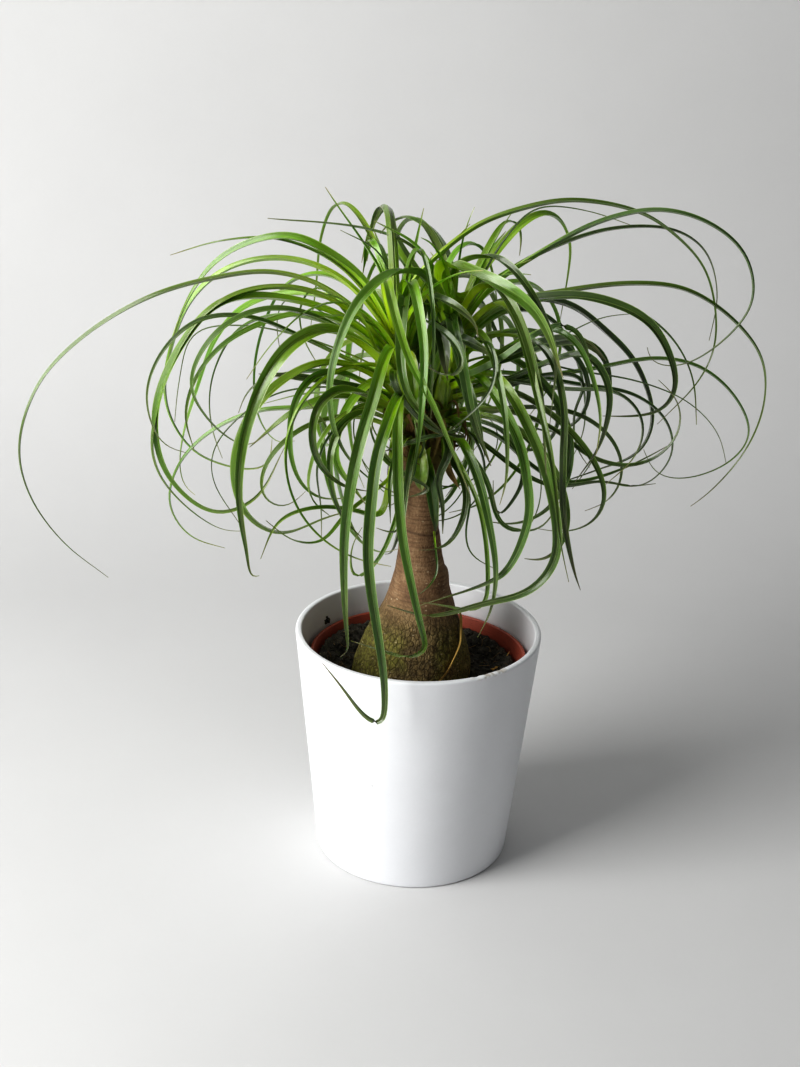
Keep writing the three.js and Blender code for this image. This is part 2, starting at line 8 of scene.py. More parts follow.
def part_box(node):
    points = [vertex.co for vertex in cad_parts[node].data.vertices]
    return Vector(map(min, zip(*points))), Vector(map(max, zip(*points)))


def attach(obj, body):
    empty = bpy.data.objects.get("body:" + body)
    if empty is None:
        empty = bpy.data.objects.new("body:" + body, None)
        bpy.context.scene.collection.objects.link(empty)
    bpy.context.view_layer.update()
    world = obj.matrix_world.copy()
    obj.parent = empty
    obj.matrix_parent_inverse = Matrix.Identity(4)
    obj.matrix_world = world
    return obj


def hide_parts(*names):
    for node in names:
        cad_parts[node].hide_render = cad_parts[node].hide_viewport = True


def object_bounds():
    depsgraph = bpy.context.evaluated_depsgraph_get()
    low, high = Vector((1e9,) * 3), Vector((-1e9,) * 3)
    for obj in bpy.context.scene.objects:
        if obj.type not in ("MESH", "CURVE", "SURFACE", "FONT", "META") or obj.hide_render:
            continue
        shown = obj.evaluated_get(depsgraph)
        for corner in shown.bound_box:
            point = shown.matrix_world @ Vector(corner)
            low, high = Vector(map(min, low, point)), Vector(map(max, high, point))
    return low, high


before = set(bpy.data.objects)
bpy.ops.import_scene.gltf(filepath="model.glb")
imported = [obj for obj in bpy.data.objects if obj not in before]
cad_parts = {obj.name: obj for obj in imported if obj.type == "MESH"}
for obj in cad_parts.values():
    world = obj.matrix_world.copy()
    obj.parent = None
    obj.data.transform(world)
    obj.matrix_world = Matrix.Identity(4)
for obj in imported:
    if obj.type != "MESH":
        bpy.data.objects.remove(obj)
CAD_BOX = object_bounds()

bl_info = {
    "name": "Potted Ponytail Palm",
    "version": (1, 0, 0),
    "blender": (4, 5, 0),
    "location": "View3D > Sidebar > Palm",
    "description": "Builds a potted ponytail palm with two leafy heads, its pots, soil and stage",
    "category": "Add Mesh",
}

MM = 0.001
TURN = 2 * math.pi
BODY = "root"

# ---- Sizes, in millimetres --------------------------------------------------------------

COVER_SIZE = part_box("cover_pot")[1]     # its high corner: rim radius and height
NURSERY = {"base": 58, "rim": 84, "top": 165, "band": 11, "step": 2.6, "wall": 2}
NURSERY_GAP = 0.3                       # between the nursery pot and the cover pot's floor
SOIL_LEVEL = 148.0                      # mean height of the soil
SOCKET_X = -5.0                         # where the stem stands in the soil
SOCKET_RADIUS = 47.0
BACK_LIMIT = CAD_BOX[1][1] / MM - 4     # how far back a leaf's midrib may reach
ROOT_DEPTH = 7.0                        # how far below its first station a leaf is rooted
CORE_RADII = (7.4, 9.5, 5)              # a head's core at its foot, middle and tip

# Height, centre x and radius of the stem's rings, from its buried foot to the fork.
STEM_STATIONS = [
    (114, -5, 38), (126, -5, 45), (148, -5, 46.4), (160, -4.4, 45.4), (174, -3, 41.5),
    (188, -2, 36.3), (208, -0.6, 27.1), (220, -0.4, 23.4), (234, 0, 19.9), (250, -1, 16.8),
    (262, -1.6, 15.7), (272, -1.4, 14), (286, -0.4, 12.8), (300, 0, 12.2), (318, -1, 12.2),
]
STEM_FOOT, STEM_FORK = STEM_STATIONS[0][0], STEM_STATIONS[-1][0]

# ---- Leaves -----------------------------------------------------------------------------
# One row a leaf: azimuth of its vertical plane (0 is +X, -90 the front), blade width, twist
# by mid-length in degrees, tone from 0 (young yellow-green) to 1 (deep green), the midrib's
# route as (reach, height) or (reach, height, aside), and how late the blade tapers.
# Tones also paint light and shade: they are set deeper for leaves that lie in shade, most of all on the right
# head, and paler for a leaf that light shines through.

LEFT_LEAVES = [
    (183, 7, 25, 0.7, [(4, 416), (28, 436), (58, 456), (91, 464), (125, 460), (175, 445), (224, 415),
        (258, 379), (275, 330), (269, 292), (246, 255), (214, 227)]),
    (172, 12, 35, 0.6, [(4, 420), (26, 457), (52, 476), (78, 486), (108, 480), (134, 464), (152, 440),
        (164, 414), (171, 388)]),
    (165, 8.5, 40, 0.45, [(4, 415), (38, 453), (69, 466), (102, 466), (134, 454), (159, 430), (174, 397),
        (182, 360), (177, 335), (159, 312), (134, 304), (113, 303), (97, 311, 4), (93, 332, 8)]),
    (190, 8, 30, 0.6, [(4, 402), (28, 431), (58, 450), (88, 456), (118, 451), (142, 435), (160, 408),
        (174, 370), (179, 338), (174, 318), (162, 300), (142, 281), (126, 272), (115, 272)]),
    (196, 6, 35, 0.8, [(5, 384), (42, 404), (80, 424), (112, 438), (148, 438), (175, 415), (186, 383),
        (175, 348), (159, 341)], 1.9),
    (190, 10, 50, 0.6, [(5, 398), (28, 424), (70, 444), (126, 446), (158, 412), (176, 365), (168, 318),
        (135, 288), (105, 298), (84, 337)], 2.2),
    (150, 9, 75, 0.5, [(4, 405), (44, 434), (93, 436), (138, 418), (164, 389), (181, 350), (197, 306),
        (202, 278), (197, 260), (187, 256)]),
    (158, 6, 20, 0.7, [(5, 396), (54, 420), (99, 422), (131, 408), (151, 378), (158, 349), (155, 322),
        (147, 302)]),
    (200, 8, 30, 0.75, [(5, 393), (52, 430), (93, 445), (128, 437), (150, 413), (155, 392), (145, 371),
        (131, 355), (113, 345), (101, 354)]),
    (212, 14, 80, 0.62, [(5, 384), (36, 417), (64, 431), (92, 424), (113, 402), (127, 370), (133, 336),
        (132, 305), (127, 275), (123, 252), (119, 257, 4)]),
    (205, 9, 40, 0.55, [(5, 372), (30, 395), (65, 405), (110, 383), (130, 340), (122, 300), (95, 280),
        (60, 288), (33, 291)], 3.5),
    (176, 8, 10, 0.9, [(5, 362), (29, 382), (55, 390), (80, 388), (105, 382), (118, 371), (124, 355)]),
    (204, 8, 60, 0.55, [(5, 362), (32, 386), (56, 398), (74, 396), (86, 380), (90, 357), (88, 333),
        (79, 313), (64, 302), (46, 301)]),
    (235, 10, 50, 0.6, [(5, 358), (51, 387), (87, 399), (107, 393), (113, 377), (108, 358), (93, 340),
        (72, 325), (46, 314)]),
    (140, 7.5, 30, 0.5, [(4, 406), (36, 440), (75, 451), (115, 435), (137, 401), (148, 361), (144, 325),
        (125, 308), (104, 314)]),
    (170, 7, 30, 0.65, [(5, 372), (33, 378), (62, 361), (110, 353), (145, 335), (172, 306), (181, 272),
        (165, 247), (137, 240)], 1.8),
    (120, 7, 15, 0.3, [(2, 420), (21, 464), (72, 498), (100, 495), (122, 464), (128, 430),
        (139, 388)], 1.5),
    (150, 5, 0, 0.3, [(2, 420), (14, 462), (31, 484), (48, 502), (63, 519)]),
    (188, 8, 45, 0.5, [(4, 396), (39, 427), (69, 436), (98, 430), (128, 414), (148, 389), (156, 360),
        (150, 336)]),
    (230, 8, 40, 0.7, [(5, 350), (48, 373), (72, 370), (84, 352), (81, 323), (67, 296), (48, 277)]),
    (192, 7, 40, 0.6, [(5, 346), (38, 360), (73, 355), (98, 337), (109, 314), (105, 298), (90, 292),
        (76, 304)]),
    (168, 6, 20, 0.5, [(4, 414), (15, 436), (46, 468), (90, 483), (135, 478), (172, 465)], 1.4),
    (150, 4, 10, 0.45, [(5, 392), (45, 425), (72, 446), (88, 430), (86, 405), (69, 382)], 2),
    (140, 2, 0, 0.9, [(5, 390), (60, 415), (115, 427), (127, 408), (123, 381)], 2),
    (200, 4, 0, 0.4, [(5, 376), (18, 400), (42, 446), (72, 444), (100, 420), (118, 396)], 1.5),
    (185, 10, 20, 0.9, [(5, 366), (24, 376), (60, 384), (107, 391)], 8),
    (160, 5, 0, 0.15, [(5, 358), (34, 368), (75, 367), (118, 352)], 1.5),
    (192, 8, 20, 0.4, [(5, 356), (24, 366), (50, 376), (80, 367), (116, 340)], 6),
    (196, 1.6, 0, 0.9, [(5, 372), (50, 384), (100, 380), (140, 345), (142, 320), (122, 283)], 2.5),
    (184, 1.8, 0, 0.6, [(5, 388), (60, 414), (115, 426), (150, 420), (161, 385), (165, 353)], 2.5),
    (215, 8, 30, 0.4, [(6, 342), (14, 315), (22, 284), (45, 293), (80, 303), (112, 299), (126, 273)], 1.6),
    (222, 4.5, 20, 0.55, [(6, 342), (12, 318), (40, 304), (60, 296), (80, 280), (108, 288), (132, 309)], 2),
    (215, 6.5, 0, 0.3, [(5, 362), (30, 373), (62, 364), (80, 338), (82, 312), (65, 294)], 2.5),
    (214, 3, 0, 0.85, [(5, 362), (30, 371), (60, 360), (75, 335), (71, 300), (71, 276)], 3),
    (190, 5, 60, 0.85, [(6, 346), (9, 320), (6, 285), (4, 266), (22, 272)], 2),
    (-90, 8, 10, 0.35, [(2, 382, -2), (13, 390, -19), (27, 373, -39), (38, 338, -47), (38, 315, -32),
        (35, 302, -24)], 3),
    (-90, 5, 10, 0.6, [(-3, 348, -2), (-4, 302, -3), (-6, 275, -7), (6, 247, -19), (12, 232, -37),
        (8, 258, -40), (6, 273, -32)], 2),
    (-90, 10, 10, 0.75, [(5, 392, 1), (15, 413, -3), (25, 419, -7), (43, 410, -13), (55, 391, -18),
        (68, 356, -28), (74, 298, -36), (75, 220, -34), (73, 200, -32), (69, 195, -38)], 3),
    (-90, 10, 8, 0.85, [(9, 367), (29, 383, -2), (47, 388, -5), (73, 379, -11), (89, 358, -18),
        (97, 326, -21), (103, 287, -22), (109, 190, -8), (109, 161, -10), (109, 167, -21), (107, 188, -37),
        (105, 208, -53)], 2.4),
    (-90, 10.5, 0, 0.6, [(6, 426, 2), (16, 456, 4), (28, 468, 9), (44, 453, 15), (54, 425, 20),
        (61, 391, 20), (64, 363, 18), (66, 321, 12)], 1.5),
    (-90, 11, 10, 0.75, [(6, 418, 4), (16, 450, 6), (24, 458, 5), (40, 435, 3), (50, 409, 4), (56, 389, 11),
        (56, 374, 25), (50, 361, 38)], 2),
    (-90, 10, 0, 0, [(7, 410, 9), (12, 390, 11), (17, 371, 13), (21, 350, 15)], 3),
    (6, 8, 10, 0.7, [(3, 430), (10, 456), (22, 471), (37, 485), (57, 500), (85, 511), (122, 518),
        (172, 510), (199, 494), (224, 468), (236, 417), (227, 387), (198, 352)], 1.5),
    (-90, 9, 0, 0.75, [(7, 365), (21, 380, -1), (31, 386, -4), (47, 381, -5), (57, 360, -5), (66, 296),
        (70, 220, 17), (66, 202, 21), (63, 194, 9), (61, 205, -35)], 2.4),
    (-90, 8, 10, 0.5, [(6, 425, -1), (14, 458, -9), (26, 469, -8), (44, 449, -1), (54, 416, 11),
        (62, 390, 27), (64, 352, 44), (62, 323, 56)], 2),
    (-100, 7, 15, 0.6, [(6, 342, 2), (26, 352, 2), (42, 345, -2), (52, 322, -4), (55, 296, -2)]),
    (-90, 4.5, 0, 0.75, [(2, 420, 2), (6, 470, 6), (20, 490, 14), (34, 474, 21), (44, 437, 26),
        (46, 400, 26), (45, 371, 26)], 2),
    (-90, 7, 60, 0.9, [(3, 386, -1), (13, 399, -4), (28, 398, -7), (37, 374, 10), (41, 361, 30),
        (37, 358, 50), (28, 358, 38)], 4),
    (-90, 6.5, 30, 0.8, [(2, 354, -2), (14, 348, -11), (28, 344, -21), (34, 326, 2), (31, 315, 21),
        (27, 306, 1)], 3),
    (-90, 9, 0, 0.6, [(-3, 422, -2), (-5, 465, -3), (-14, 494, -6), (-34, 506, -9), (-56, 501, -16),
        (-68, 482, -21), (-70, 457, -24)], 2.6),
    # This back leaf's low tone paints it pale: painted light, for the light that shines through it.
    (-90, 10, 0, 0.3, [(-3, 416, -2), (-14, 460, -9), (-28, 484, -18), (-42, 478, -24),
        (-50, 448, -28)], 3),
    (-90, 1.8, 0, 0.8, [(2, 422, -2), (3, 458, -4), (7, 482, -14), (14, 498, -41)], 2),
    (40, 12, 0, 0.3, [(2, 352), (12, 378), (20, 405), (25, 435), (32, 462), (45, 480), (62, 480), (78, 455),
        (86, 420)], 1.6),
    (70, 11, 0, 0.5, [(2, 356), (10, 384), (20, 412), (34, 436), (54, 446), (72, 432), (82, 404)], 1.6),
    (20, 12, 20, 0.6, [(2, 346), (12, 366), (20, 388), (26, 410), (38, 424), (52, 414), (60, 392)], 1.8),
]

RIGHT_LEAVES = [
    (172, 5, 10, 0.75, [(3, 424), (10, 455), (36, 483), (70, 493), (140, 496)], 1.6),
    (118, 9, 0, 0.6, [(3, 424), (12, 452), (27, 470), (50, 486), (74, 490), (96, 474), (108, 444),
        (114, 412)]),
    (135, 4, 0, 0.4, [(3, 424), (10, 462, -8), (12, 490, -16), (10, 508, -24)]),
    (-8, 8, 20, 0.85, [(3, 420), (24, 455), (60, 484), (100, 508), (140, 518), (175, 510), (200, 490),
        (208, 458), (190, 428), (162, 408), (140, 410), (138, 420)], 1.5),
    (12, 6.5, 25, 0.85, [(3, 424), (30, 460), (85, 488), (122, 496), (162, 493), (186, 477), (198, 445),
        (195, 410)], 1.6),
    (30, 11, 30, 0.3, [(3, 424), (15, 453), (38, 483), (51, 495), (70, 503), (85, 497), (95, 479),
        (95, 457), (91, 422)], 1.6),
    (45, 8, 10, 0.3, [(3, 430), (15, 458), (30, 481), (41, 494), (52, 498), (64, 486), (63, 469)], 1.6),
    (-90, 15, 10, 0.6, [(10, 448, -8), (18, 467, -15), (28, 477, -11), (46, 476, 4), (62, 472, 25),
        (70, 463, 44), (74, 447, 57), (76, 412, 71)], 2.2),
    (-90, 7.5, 10, 0.85, [(10, 448, -6), (20, 473, -4), (34, 484, 8), (46, 488, 19), (56, 485, 31),
        (64, 471, 45), (68, 451, 57), (68, 425, 66), (62, 374, 65)], 1.8),
    (5, 7.5, 20, 0.7, [(4, 414), (30, 440), (80, 452), (130, 458), (168, 454), (206, 431), (230, 402),
        (235, 368), (225, 332), (200, 297), (187, 286)], 1.6),
    (-12, 9, 55, 0.85, [(4, 410), (30, 440), (75, 454), (110, 453), (142, 439), (162, 398), (155, 379),
        (138, 372), (112, 369)], 2.6),
    (20, 9.5, 55, 0.9, [(4, 416), (32, 440), (86, 437), (120, 414), (149, 385), (167, 340), (158, 316),
        (123, 304), (82, 294)], 2.2),
    (28, 8, 45, 0.8, [(4, 402), (30, 427), (60, 432), (87, 420), (107, 394), (119, 361), (121, 329),
        (110, 305)]),
    (-35, 8, 40, 0.7, [(5, 384), (36, 408), (65, 428), (89, 440), (108, 432), (122, 409), (130, 382),
        (128, 357)]),
    (14, 10, 60, 0.9, [(5, 382), (43, 399), (75, 407), (104, 410), (121, 398), (127, 375), (126, 344),
        (119, 317), (104, 294)]),
    (-55, 8, 30, 0.6, [(4, 408), (30, 440), (52, 455), (69, 450), (84, 430), (101, 397), (115, 370),
        (125, 341), (133, 307), (146, 279)]),
    (-2, 5, 20, 0.75, [(4, 405), (34, 436), (80, 450), (128, 444), (158, 424), (176, 394),
        (182, 359)], 1.7),
    (4, 3, 0, 0.9, [(4, 395), (40, 405), (90, 394), (140, 386), (180, 370), (205, 345), (213, 322)], 1.2),
    (10, 6, 30, 0.85, [(5, 384), (34, 390), (100, 379), (145, 370), (172, 348), (178, 322), (162, 300),
        (145, 297), (128, 302)], 1.9),
    (-20, 6, 10, 0.9, [(5, 380), (40, 390), (90, 390), (130, 393), (148, 376), (146, 350),
        (124, 322)], 2.2),
    (15, 3, 0, 0.7, [(5, 372), (30, 390), (90, 415), (120, 428), (146, 430)], 1.2),
    (16, 3, 0, 0.8, [(3, 424), (20, 466), (36, 492), (55, 510), (92, 508), (135, 494)], 1.3),
    (-30, 8, 40, 0.95, [(5, 372), (34, 384), (92, 417), (112, 424), (130, 405), (128, 365),
        (110, 329)], 2.6),
    (-10, 7, 10, 0.85, [(5, 366), (40, 380), (80, 396), (104, 394), (97, 370), (102, 340),
        (112, 328)], 2.4),
    (-24, 11, 75, 0.95, [(5, 380), (30, 398), (75, 424), (104, 430), (121, 418)], 5),
    (-25, 8, 40, 0.75, [(5, 370), (47, 385), (78, 376), (106, 358), (124, 337), (130, 317), (122, 298),
        (102, 286), (80, 284)]),
    (8, 6, 20, 0.7, [(5, 374), (48, 384), (105, 391), (160, 400), (195, 392), (225, 366), (237, 338),
        (222, 317), (188, 305), (166, 310), (155, 329)], 1.8),
    (-18, 7, 30, 0.8, [(5, 360), (46, 368), (87, 358), (112, 342), (141, 338), (163, 347, 4), (176, 367, 9),
        (172, 388, 14), (156, 400, 18)]),
    (-60, 8, 25, 0.7, [(4, 398), (23, 429), (48, 427), (70, 398), (80, 367), (83, 335), (76, 314)]),
    (0, 7, 30, 0.8, [(5, 352), (41, 345), (71, 320), (94, 308), (116, 311), (146, 324), (174, 342)]),
    (-90, 9, 10, 0.8, [(13, 385, 11), (29, 400, 26), (41, 400, 35), (51, 391, 45), (61, 367, 60),
        (67, 346, 70), (69, 298, 82), (67, 271, 81), (65, 248, 65), (63, 236, 33), (61, 223, -7),
        (60, 230, -38)], 3),
    (-90, 8.5, 15, 0.8, [(13, 384, 7), (29, 399, 18), (45, 391, 32), (61, 361, 52), (65, 339, 58),
        (65, 307, 62), (59, 259, 47), (53, 246, 30), (44, 221, -20)], 2.8),
    (-90, 9, 15, 0.85, [(7, 342, 10), (28, 348, 18), (44, 330, 30), (55, 299, 40), (61, 262, 47),
        (61, 230, 45), (58, 206, 36)]),
    (-90, 11, 25, 0.75, [(8, 400, 2), (16, 448, -8), (34, 472, -26), (50, 474, -46), (60, 457, -66),
        (67, 430, -78), (70, 400, -84), (70, 367, -80), (65, 340, -66), (56, 322, -48), (48, 310, -28)]),
    (-90, 10, 15, 0.7, [(12, 434, 1), (32, 461, 12), (48, 468, 23), (60, 463, 31), (70, 445, 42),
        (76, 421, 50), (80, 396, 57), (82, 343, 63)], 1.8),
    (-90, 7, 10, 0.8, [(6, 340, -8), (32, 344, -15), (54, 318, -20), (64, 284, -22), (66, 252, -16)]),
    (-90, 5.5, -30, 0.9, [(2, 354, 2), (18, 361, 27), (36, 353, 53), (38, 325, 62), (38, 298, 49),
        (37, 292, 45), (35, 310, 41), (34, 321, 41)], 3),
    (-90, 5.5, 10, 0.85, [(2, 404, 2), (28, 428, 32), (55, 426, 64), (65, 390, 78), (67, 350, 80),
        (63, 302, 84), (60, 258, 95), (58, 246, 100)], 7),
    (-90, 1.6, 0, 1, [(2, 347, 2), (9, 330, 13), (22, 301, 27), (24, 281, 24), (24, 258, 28),
        (24, 247, 47)], 3),
    (-90, 5, 20, 0.95, [(2, 352, 2), (13, 342, 16), (28, 320, 37), (33, 285, 50), (38, 285, 77),
        (44, 311, 90)], 2.5),
    (-90, 4.5, 0, 0.9, [(1, 354, 3), (8, 342, 31), (16, 320, 65), (16, 311, 90), (16, 317, 125),
        (16, 313, 140), (16, 316, 162)], 2),
    (-90, 3.5, 0, 0.6, [(2, 347, 2), (20, 330, 16), (40, 304, 32), (48, 252, 41), (50, 226, 38),
        (48, 227, 4), (47, 228, -8)], 5),
    (-90, 9, 20, 0.8, [(15, 394, -7), (29, 395, 5), (41, 404, 20), (49, 416, 36), (55, 431, 51),
        (57, 446, 78), (57, 440, 88), (57, 422, 95), (55, 392, 105)], 1.8),
    (-90, 13, 0, 0.95, [(6, 420, -6), (16, 434, -15), (28, 428, -11), (35, 414, -8), (38, 396, -5)], 4),
    (-90, 12, 0, 0.95, [(6, 428, -4), (16, 441, -8), (28, 436, -3), (36, 420, 1), (40, 397, 3)], 4),
    (-90, 13, 0, 0.95, [(8, 384), (17, 392, 2), (29, 398, 9), (39, 383, 17), (43, 342, 29)], 2.2),
    (-90, 10, 0, 0.75, [(-4, 432, -2), (-16, 452, -6), (-28, 474, -10), (-46, 487, -21), (-62, 492, -35),
        (-76, 488, -48), (-86, 473, -60)], 2),
    (-90, 6, 0, 0.95, [(3, 402, -2), (18, 431, -11), (35, 438, -20), (53, 433, -3), (62, 416, 8),
        (62, 406, -1), (53, 411, -18)], 4),
    (-90, 8, 20, 0.95, [(2, 420, -2), (14, 449, -14), (34, 456, -20), (47, 454, -3), (52, 440, 15),
        (50, 432, 14)], 4),
    (-90, 10, 10, 0.95, [(3, 406), (20, 435, -1), (40, 438, -2), (52, 415, 6), (53, 375, 15),
        (49, 337, 30)], 3),
    (-90, 9, 30, 0.95, [(3, 400), (16, 422), (33, 427, 2), (42, 424, 18), (49, 416, 34)], 5),
    (-90, 3, 0, 0.9, [(3, 400, 1), (26, 421, 14), (50, 427, 27), (59, 400, 29), (58, 370, 5),
        (55, 360, -6)], 3),
    (-90, 7, 60, 0.9, [(2, 352, 2), (14, 360, 10), (28, 358, 19), (37, 355, 3), (38, 352, -13),
        (32, 340, -39)], 3),
    (-90, 9, 0, 0.85, [(3, 348, 1), (13, 347, 5), (26, 341, 11), (29, 320, 1), (26, 300, 6),
        (22, 273, 7)], 1.6),
    (-90, 6.5, 10, 0.8, [(2, 346, 2), (8, 330, 9), (19, 315, 22), (25, 290, 23), (33, 266, 9),
        (40, 267, -10)], 2.4),
    (-90, 9, 0, 0.5, [(-1, 420, -3), (-6, 455, -24), (-15, 488, -47), (-34, 505, -51), (-54, 498, -58),
        (-65, 475, -67), (-66, 455, -71)], 2.4),
    (-90, 5, 0, 0.3, [(1, 422, -3), (3, 457, -14), (7, 485, -30), (16, 504, -61)], 2),
    (140, 12, 0, 0.4, [(2, 350), (12, 376), (19, 402), (24, 430), (30, 455), (42, 470), (58, 468),
        (72, 445), (80, 410)], 1.6),
    (165, 12, 10, 0.7, [(2, 344), (12, 362), (20, 384), (24, 404), (32, 422), (44, 426), (56, 408),
        (60, 380)], 1.8),
    (110, 12, 0, 0.6, [(2, 352), (9, 384), (16, 414), (28, 440), (46, 448), (62, 430), (70, 400)], 1.6),
]

TAPER = 1.7         # of a leaf whose row gives none

# Single leaves on the fork: how far back their width leans, width, tone, taper and route.
FORK_LEAVES = [
    # The first leaf's tone of 0.85 is partly painted shade: a dark olive where it runs down the shaded right
    # of the stem.
    (0.1, 11.5, 0.85, 2.6, [(-2, -9, 334), (1, -15, 326), (4, -18.5, 315), (7, -21, 297),
        (9, -22.5, 284), (9, -23.5, 272)]),
    (0.1, 13, 0.0, 5, [(-6, -10, 340), (-4.5, -17, 332), (-3, -20.5, 320), (-1.5, -22, 308)]),
    (0, 1.5, 1.0, 3, [(8.6, -22.6, 277), (9.6, -24, 268), (11, -26, 258), (12, -30, 247),
        (8, -35, 240), (3, -40, 236), (-3, -43, 233)]),
]

# Dead leaves that hang from the fork: width and route.
DEAD_LEAVES = [
    (5.5, [(12, -8, 331), (16, -14, 328), (19, -21, 322), (23, -24, 317), (26.5, -26, 312)]),
    (7, [(-10, -9, 333), (-10, -14.5, 328), (-11, -16.5, 320), (-11.5, -17, 313)]),
]

# The heads: the axis of each, and the leaves that it gets by rule. "fill" is how many large
# ones and their fan of azimuths, "curled" the same for the old lower ones.
# The right head's curled leaves get deep tones, which partly paint the shade that falls on that side.
HEADS = {
    "left": {"foot": (-11.5, -4, 337), "tip": (-24, -2, 424), "rows": LEFT_LEAVES, "seed": 411,
             "fill": (9, 50, 128), "curled": (3, 60, 250), "curled_tones": (0.35, 0.8), "wisps": 5},
    "right": {"foot": (6.5, 4, 337), "tip": (21, 6, 432), "rows": RIGHT_LEAVES, "seed": 907,
              "fill": (8, 42, 112), "curled": (8, -75, 130), "curled_tones": (0.75, 1.0), "wisps": 9},
}
FILL_LENGTH = (210, 310)
FILL_WIDTH = (8, 11.5)
YOUNG_LEAVES = 9    # round each growing tip


# ---- Numbers and routes -----------------------------------------------------------------

def mix(start, end, share):
    return start + (end - start) * share


def ease(low, high, value):
    share = np.clip((value - low) / (high - low), 0.0, 1.0)
    return share * share * (3 - 2 * share)


def heading(turn):
    """The level direction at this turn."""
    return np.array([math.cos(turn), math.sin(turn), 0])


def beside(direction):
    """The level direction to the left of another."""
    return np.array([-direction[1], direction[0], 0])


class Chance:
    """A fixed stream of numbers from 0 to 1."""

    def __init__(self, state):
        self.state = state

    def __call__(self, low=0.0, high=1.0):
        self.state = (self.state * 1664525 + 1013904223) % 4294967296
        return low + (high - low) * self.state / 4294967296


def curve_through(stations, spacing):
    """Even points along a smooth curve through the stations, spacing apart."""
    p = np.array(stations, float)
    p = np.vstack([2 * p[0] - p[1], p, 2 * p[-1] - p[-2]])
    path = [p[1][None]]
    for i in range(1, len(p) - 2):
        d0, d1, d2 = (np.sqrt(np.linalg.norm(p[i + k] - p[i + k - 1])) or 1.0 for k in (0, 1, 2))
        a = (p[i] - p[i - 1]) / d0 - (p[i + 1] - p[i - 1]) / (d0 + d1) + (p[i + 1] - p[i]) / d1
        b = (p[i + 1] - p[i]) / d1 - (p[i + 2] - p[i]) / (d1 + d2) + (p[i + 2] - p[i + 1]) / d2
        a, b = a * d1, b * d1
        t = np.linspace(0, 1, 25)[1:, None]
        path.append(p[i] + a * t + (3 * (p[i + 1] - p[i]) - 2 * a - b) * t ** 2
                    + (2 * (p[i] - p[i + 1]) + a + b) * t ** 3)
    path = np.vstack(path)
    steps = np.concatenate([[0], np.cumsum(np.linalg.norm(np.diff(path, axis=0), axis=1))])
    count = max(10, int(round(steps[-1] / spacing)))
    even = np.linspace(0, steps[-1], count + 1)
    points = np.column_stack([np.interp(even, steps, path[:, k]) for k in range(3)])
    for _ in range(6):
        points[1:-1] = 0.5 * points[1:-1] + 0.25 * (points[:-2] + points[2:])
    return points


def slopes_of(points):
    slope = np.gradient(points, axis=0)
    return slope / np.linalg.norm(slope, axis=1)[:, None]


# ---- Meshes -----------------------------------------------------------------------------

def mark_points(mesh, label, values):
    """Stores four numbers a point, for the material to read."""
    layer = mesh.attributes.new(label, "FLOAT_COLOR", "POINT")
    layer.data.foreach_set("color", np.asarray(values, np.float32).ravel())


def new_piece(name, vertices, faces, material, marks=None, sharp=None):
    """A mesh piece from points in millimetres, with its marks by label."""
    mesh = bpy.data.meshes.new(name)
    mesh.from_pydata((np.asarray(vertices) * MM).tolist(), [], faces)
    mesh.validate()
    for label, values in (marks or {}).items():
        mark_points(mesh, label, values)
    mesh.shade_smooth()
    if sharp:
        mesh.set_sharp_from_angle(angle=math.radians(sharp))
    mesh.materials.append(material)
    piece = bpy.data.objects.new(name, mesh)
    bpy.context.scene.collection.objects.link(piece)
    return piece


class Bundle:
    """Gathers many small shells into one mesh, each point marked along, across, seed and tone."""

    def __init__(self):
        self.points, self.faces, self.marks, self.total = [], [], [], 0

    def add(self, points, faces, marks):
        self.faces += [tuple(i + self.total for i in face) for face in faces]
        self.points.append(points)
        self.marks.append(np.broadcast_to(marks, (len(points), 4)))
        self.total += len(points)

    def piece(self, name, material, sharp=None):
        return new_piece(name, np.vstack(self.points), self.faces, material,
                         {"blade": np.vstack(self.marks)}, sharp)


def skin(rows, sides, closed_ends=True):
    """Quads between rings of equal count, and a face over each end."""
    faces = []
    for r in range(rows - 1):
        for s in range(sides):
            t = (s + 1) % sides
            faces.append((r * sides + s, r * sides + t, (r + 1) * sides + t, (r + 1) * sides + s))
    if closed_ends:
        faces.append(tuple(range(sides))[::-1])
        faces.append(tuple((rows - 1) * sides + s for s in range(sides)))
    return faces


def around(sides):
    return np.arange(sides) / sides * TURN


def spun(outline, sides, shape):
    """A closed outline of radius and height, spun round the axis; its ends lie on the axis."""
    outline = np.array(outline, float)
    rings = outline[1:-1]
    turn = np.tile(around(sides), len(rings))
    radius, height = shape(np.repeat(rings[:, 0], sides), np.repeat(rings[:, 1], sides), turn)
    points = np.column_stack([radius * np.cos(turn), radius * np.sin(turn), height])
    points = np.vstack([points, [[0, 0, outline[0, 1]], [0, 0, outline[-1, 1]]]])
    faces = skin(len(rings), sides, closed_ends=False)
    low, high, last = len(points) - 2, len(points) - 1, (len(rings) - 1) * sides
    for s in range(sides):
        t = (s + 1) % sides
        faces += [(low, t, s), (high, last + s, last + t)]
    return points, faces


def rounded(corners, radii, steps=6):
    """An outline with its corners rounded."""
    outline = []
    for i, corner in enumerate(corners):
        here = np.array(corner, float)
        if i in (0, len(corners) - 1) or radii[i] == 0:
            outline.append(here)
            continue
        before, after = np.array(corners[i - 1], float), np.array(corners[i + 1], float)
        u = (before - here) / np.linalg.norm(before - here)
        v = (after - here) / np.linalg.norm(after - here)
        setback = radii[i] / math.tan(math.acos(float(np.clip(u @ v, -1, 1))) / 2)
        start, end = here + u * setback, here + v * setback
        for k in range(steps + 1):
            t = k / steps
            outline.append((1 - t) ** 2 * start + 2 * t * (1 - t) * here + t * t * end)
    return outline


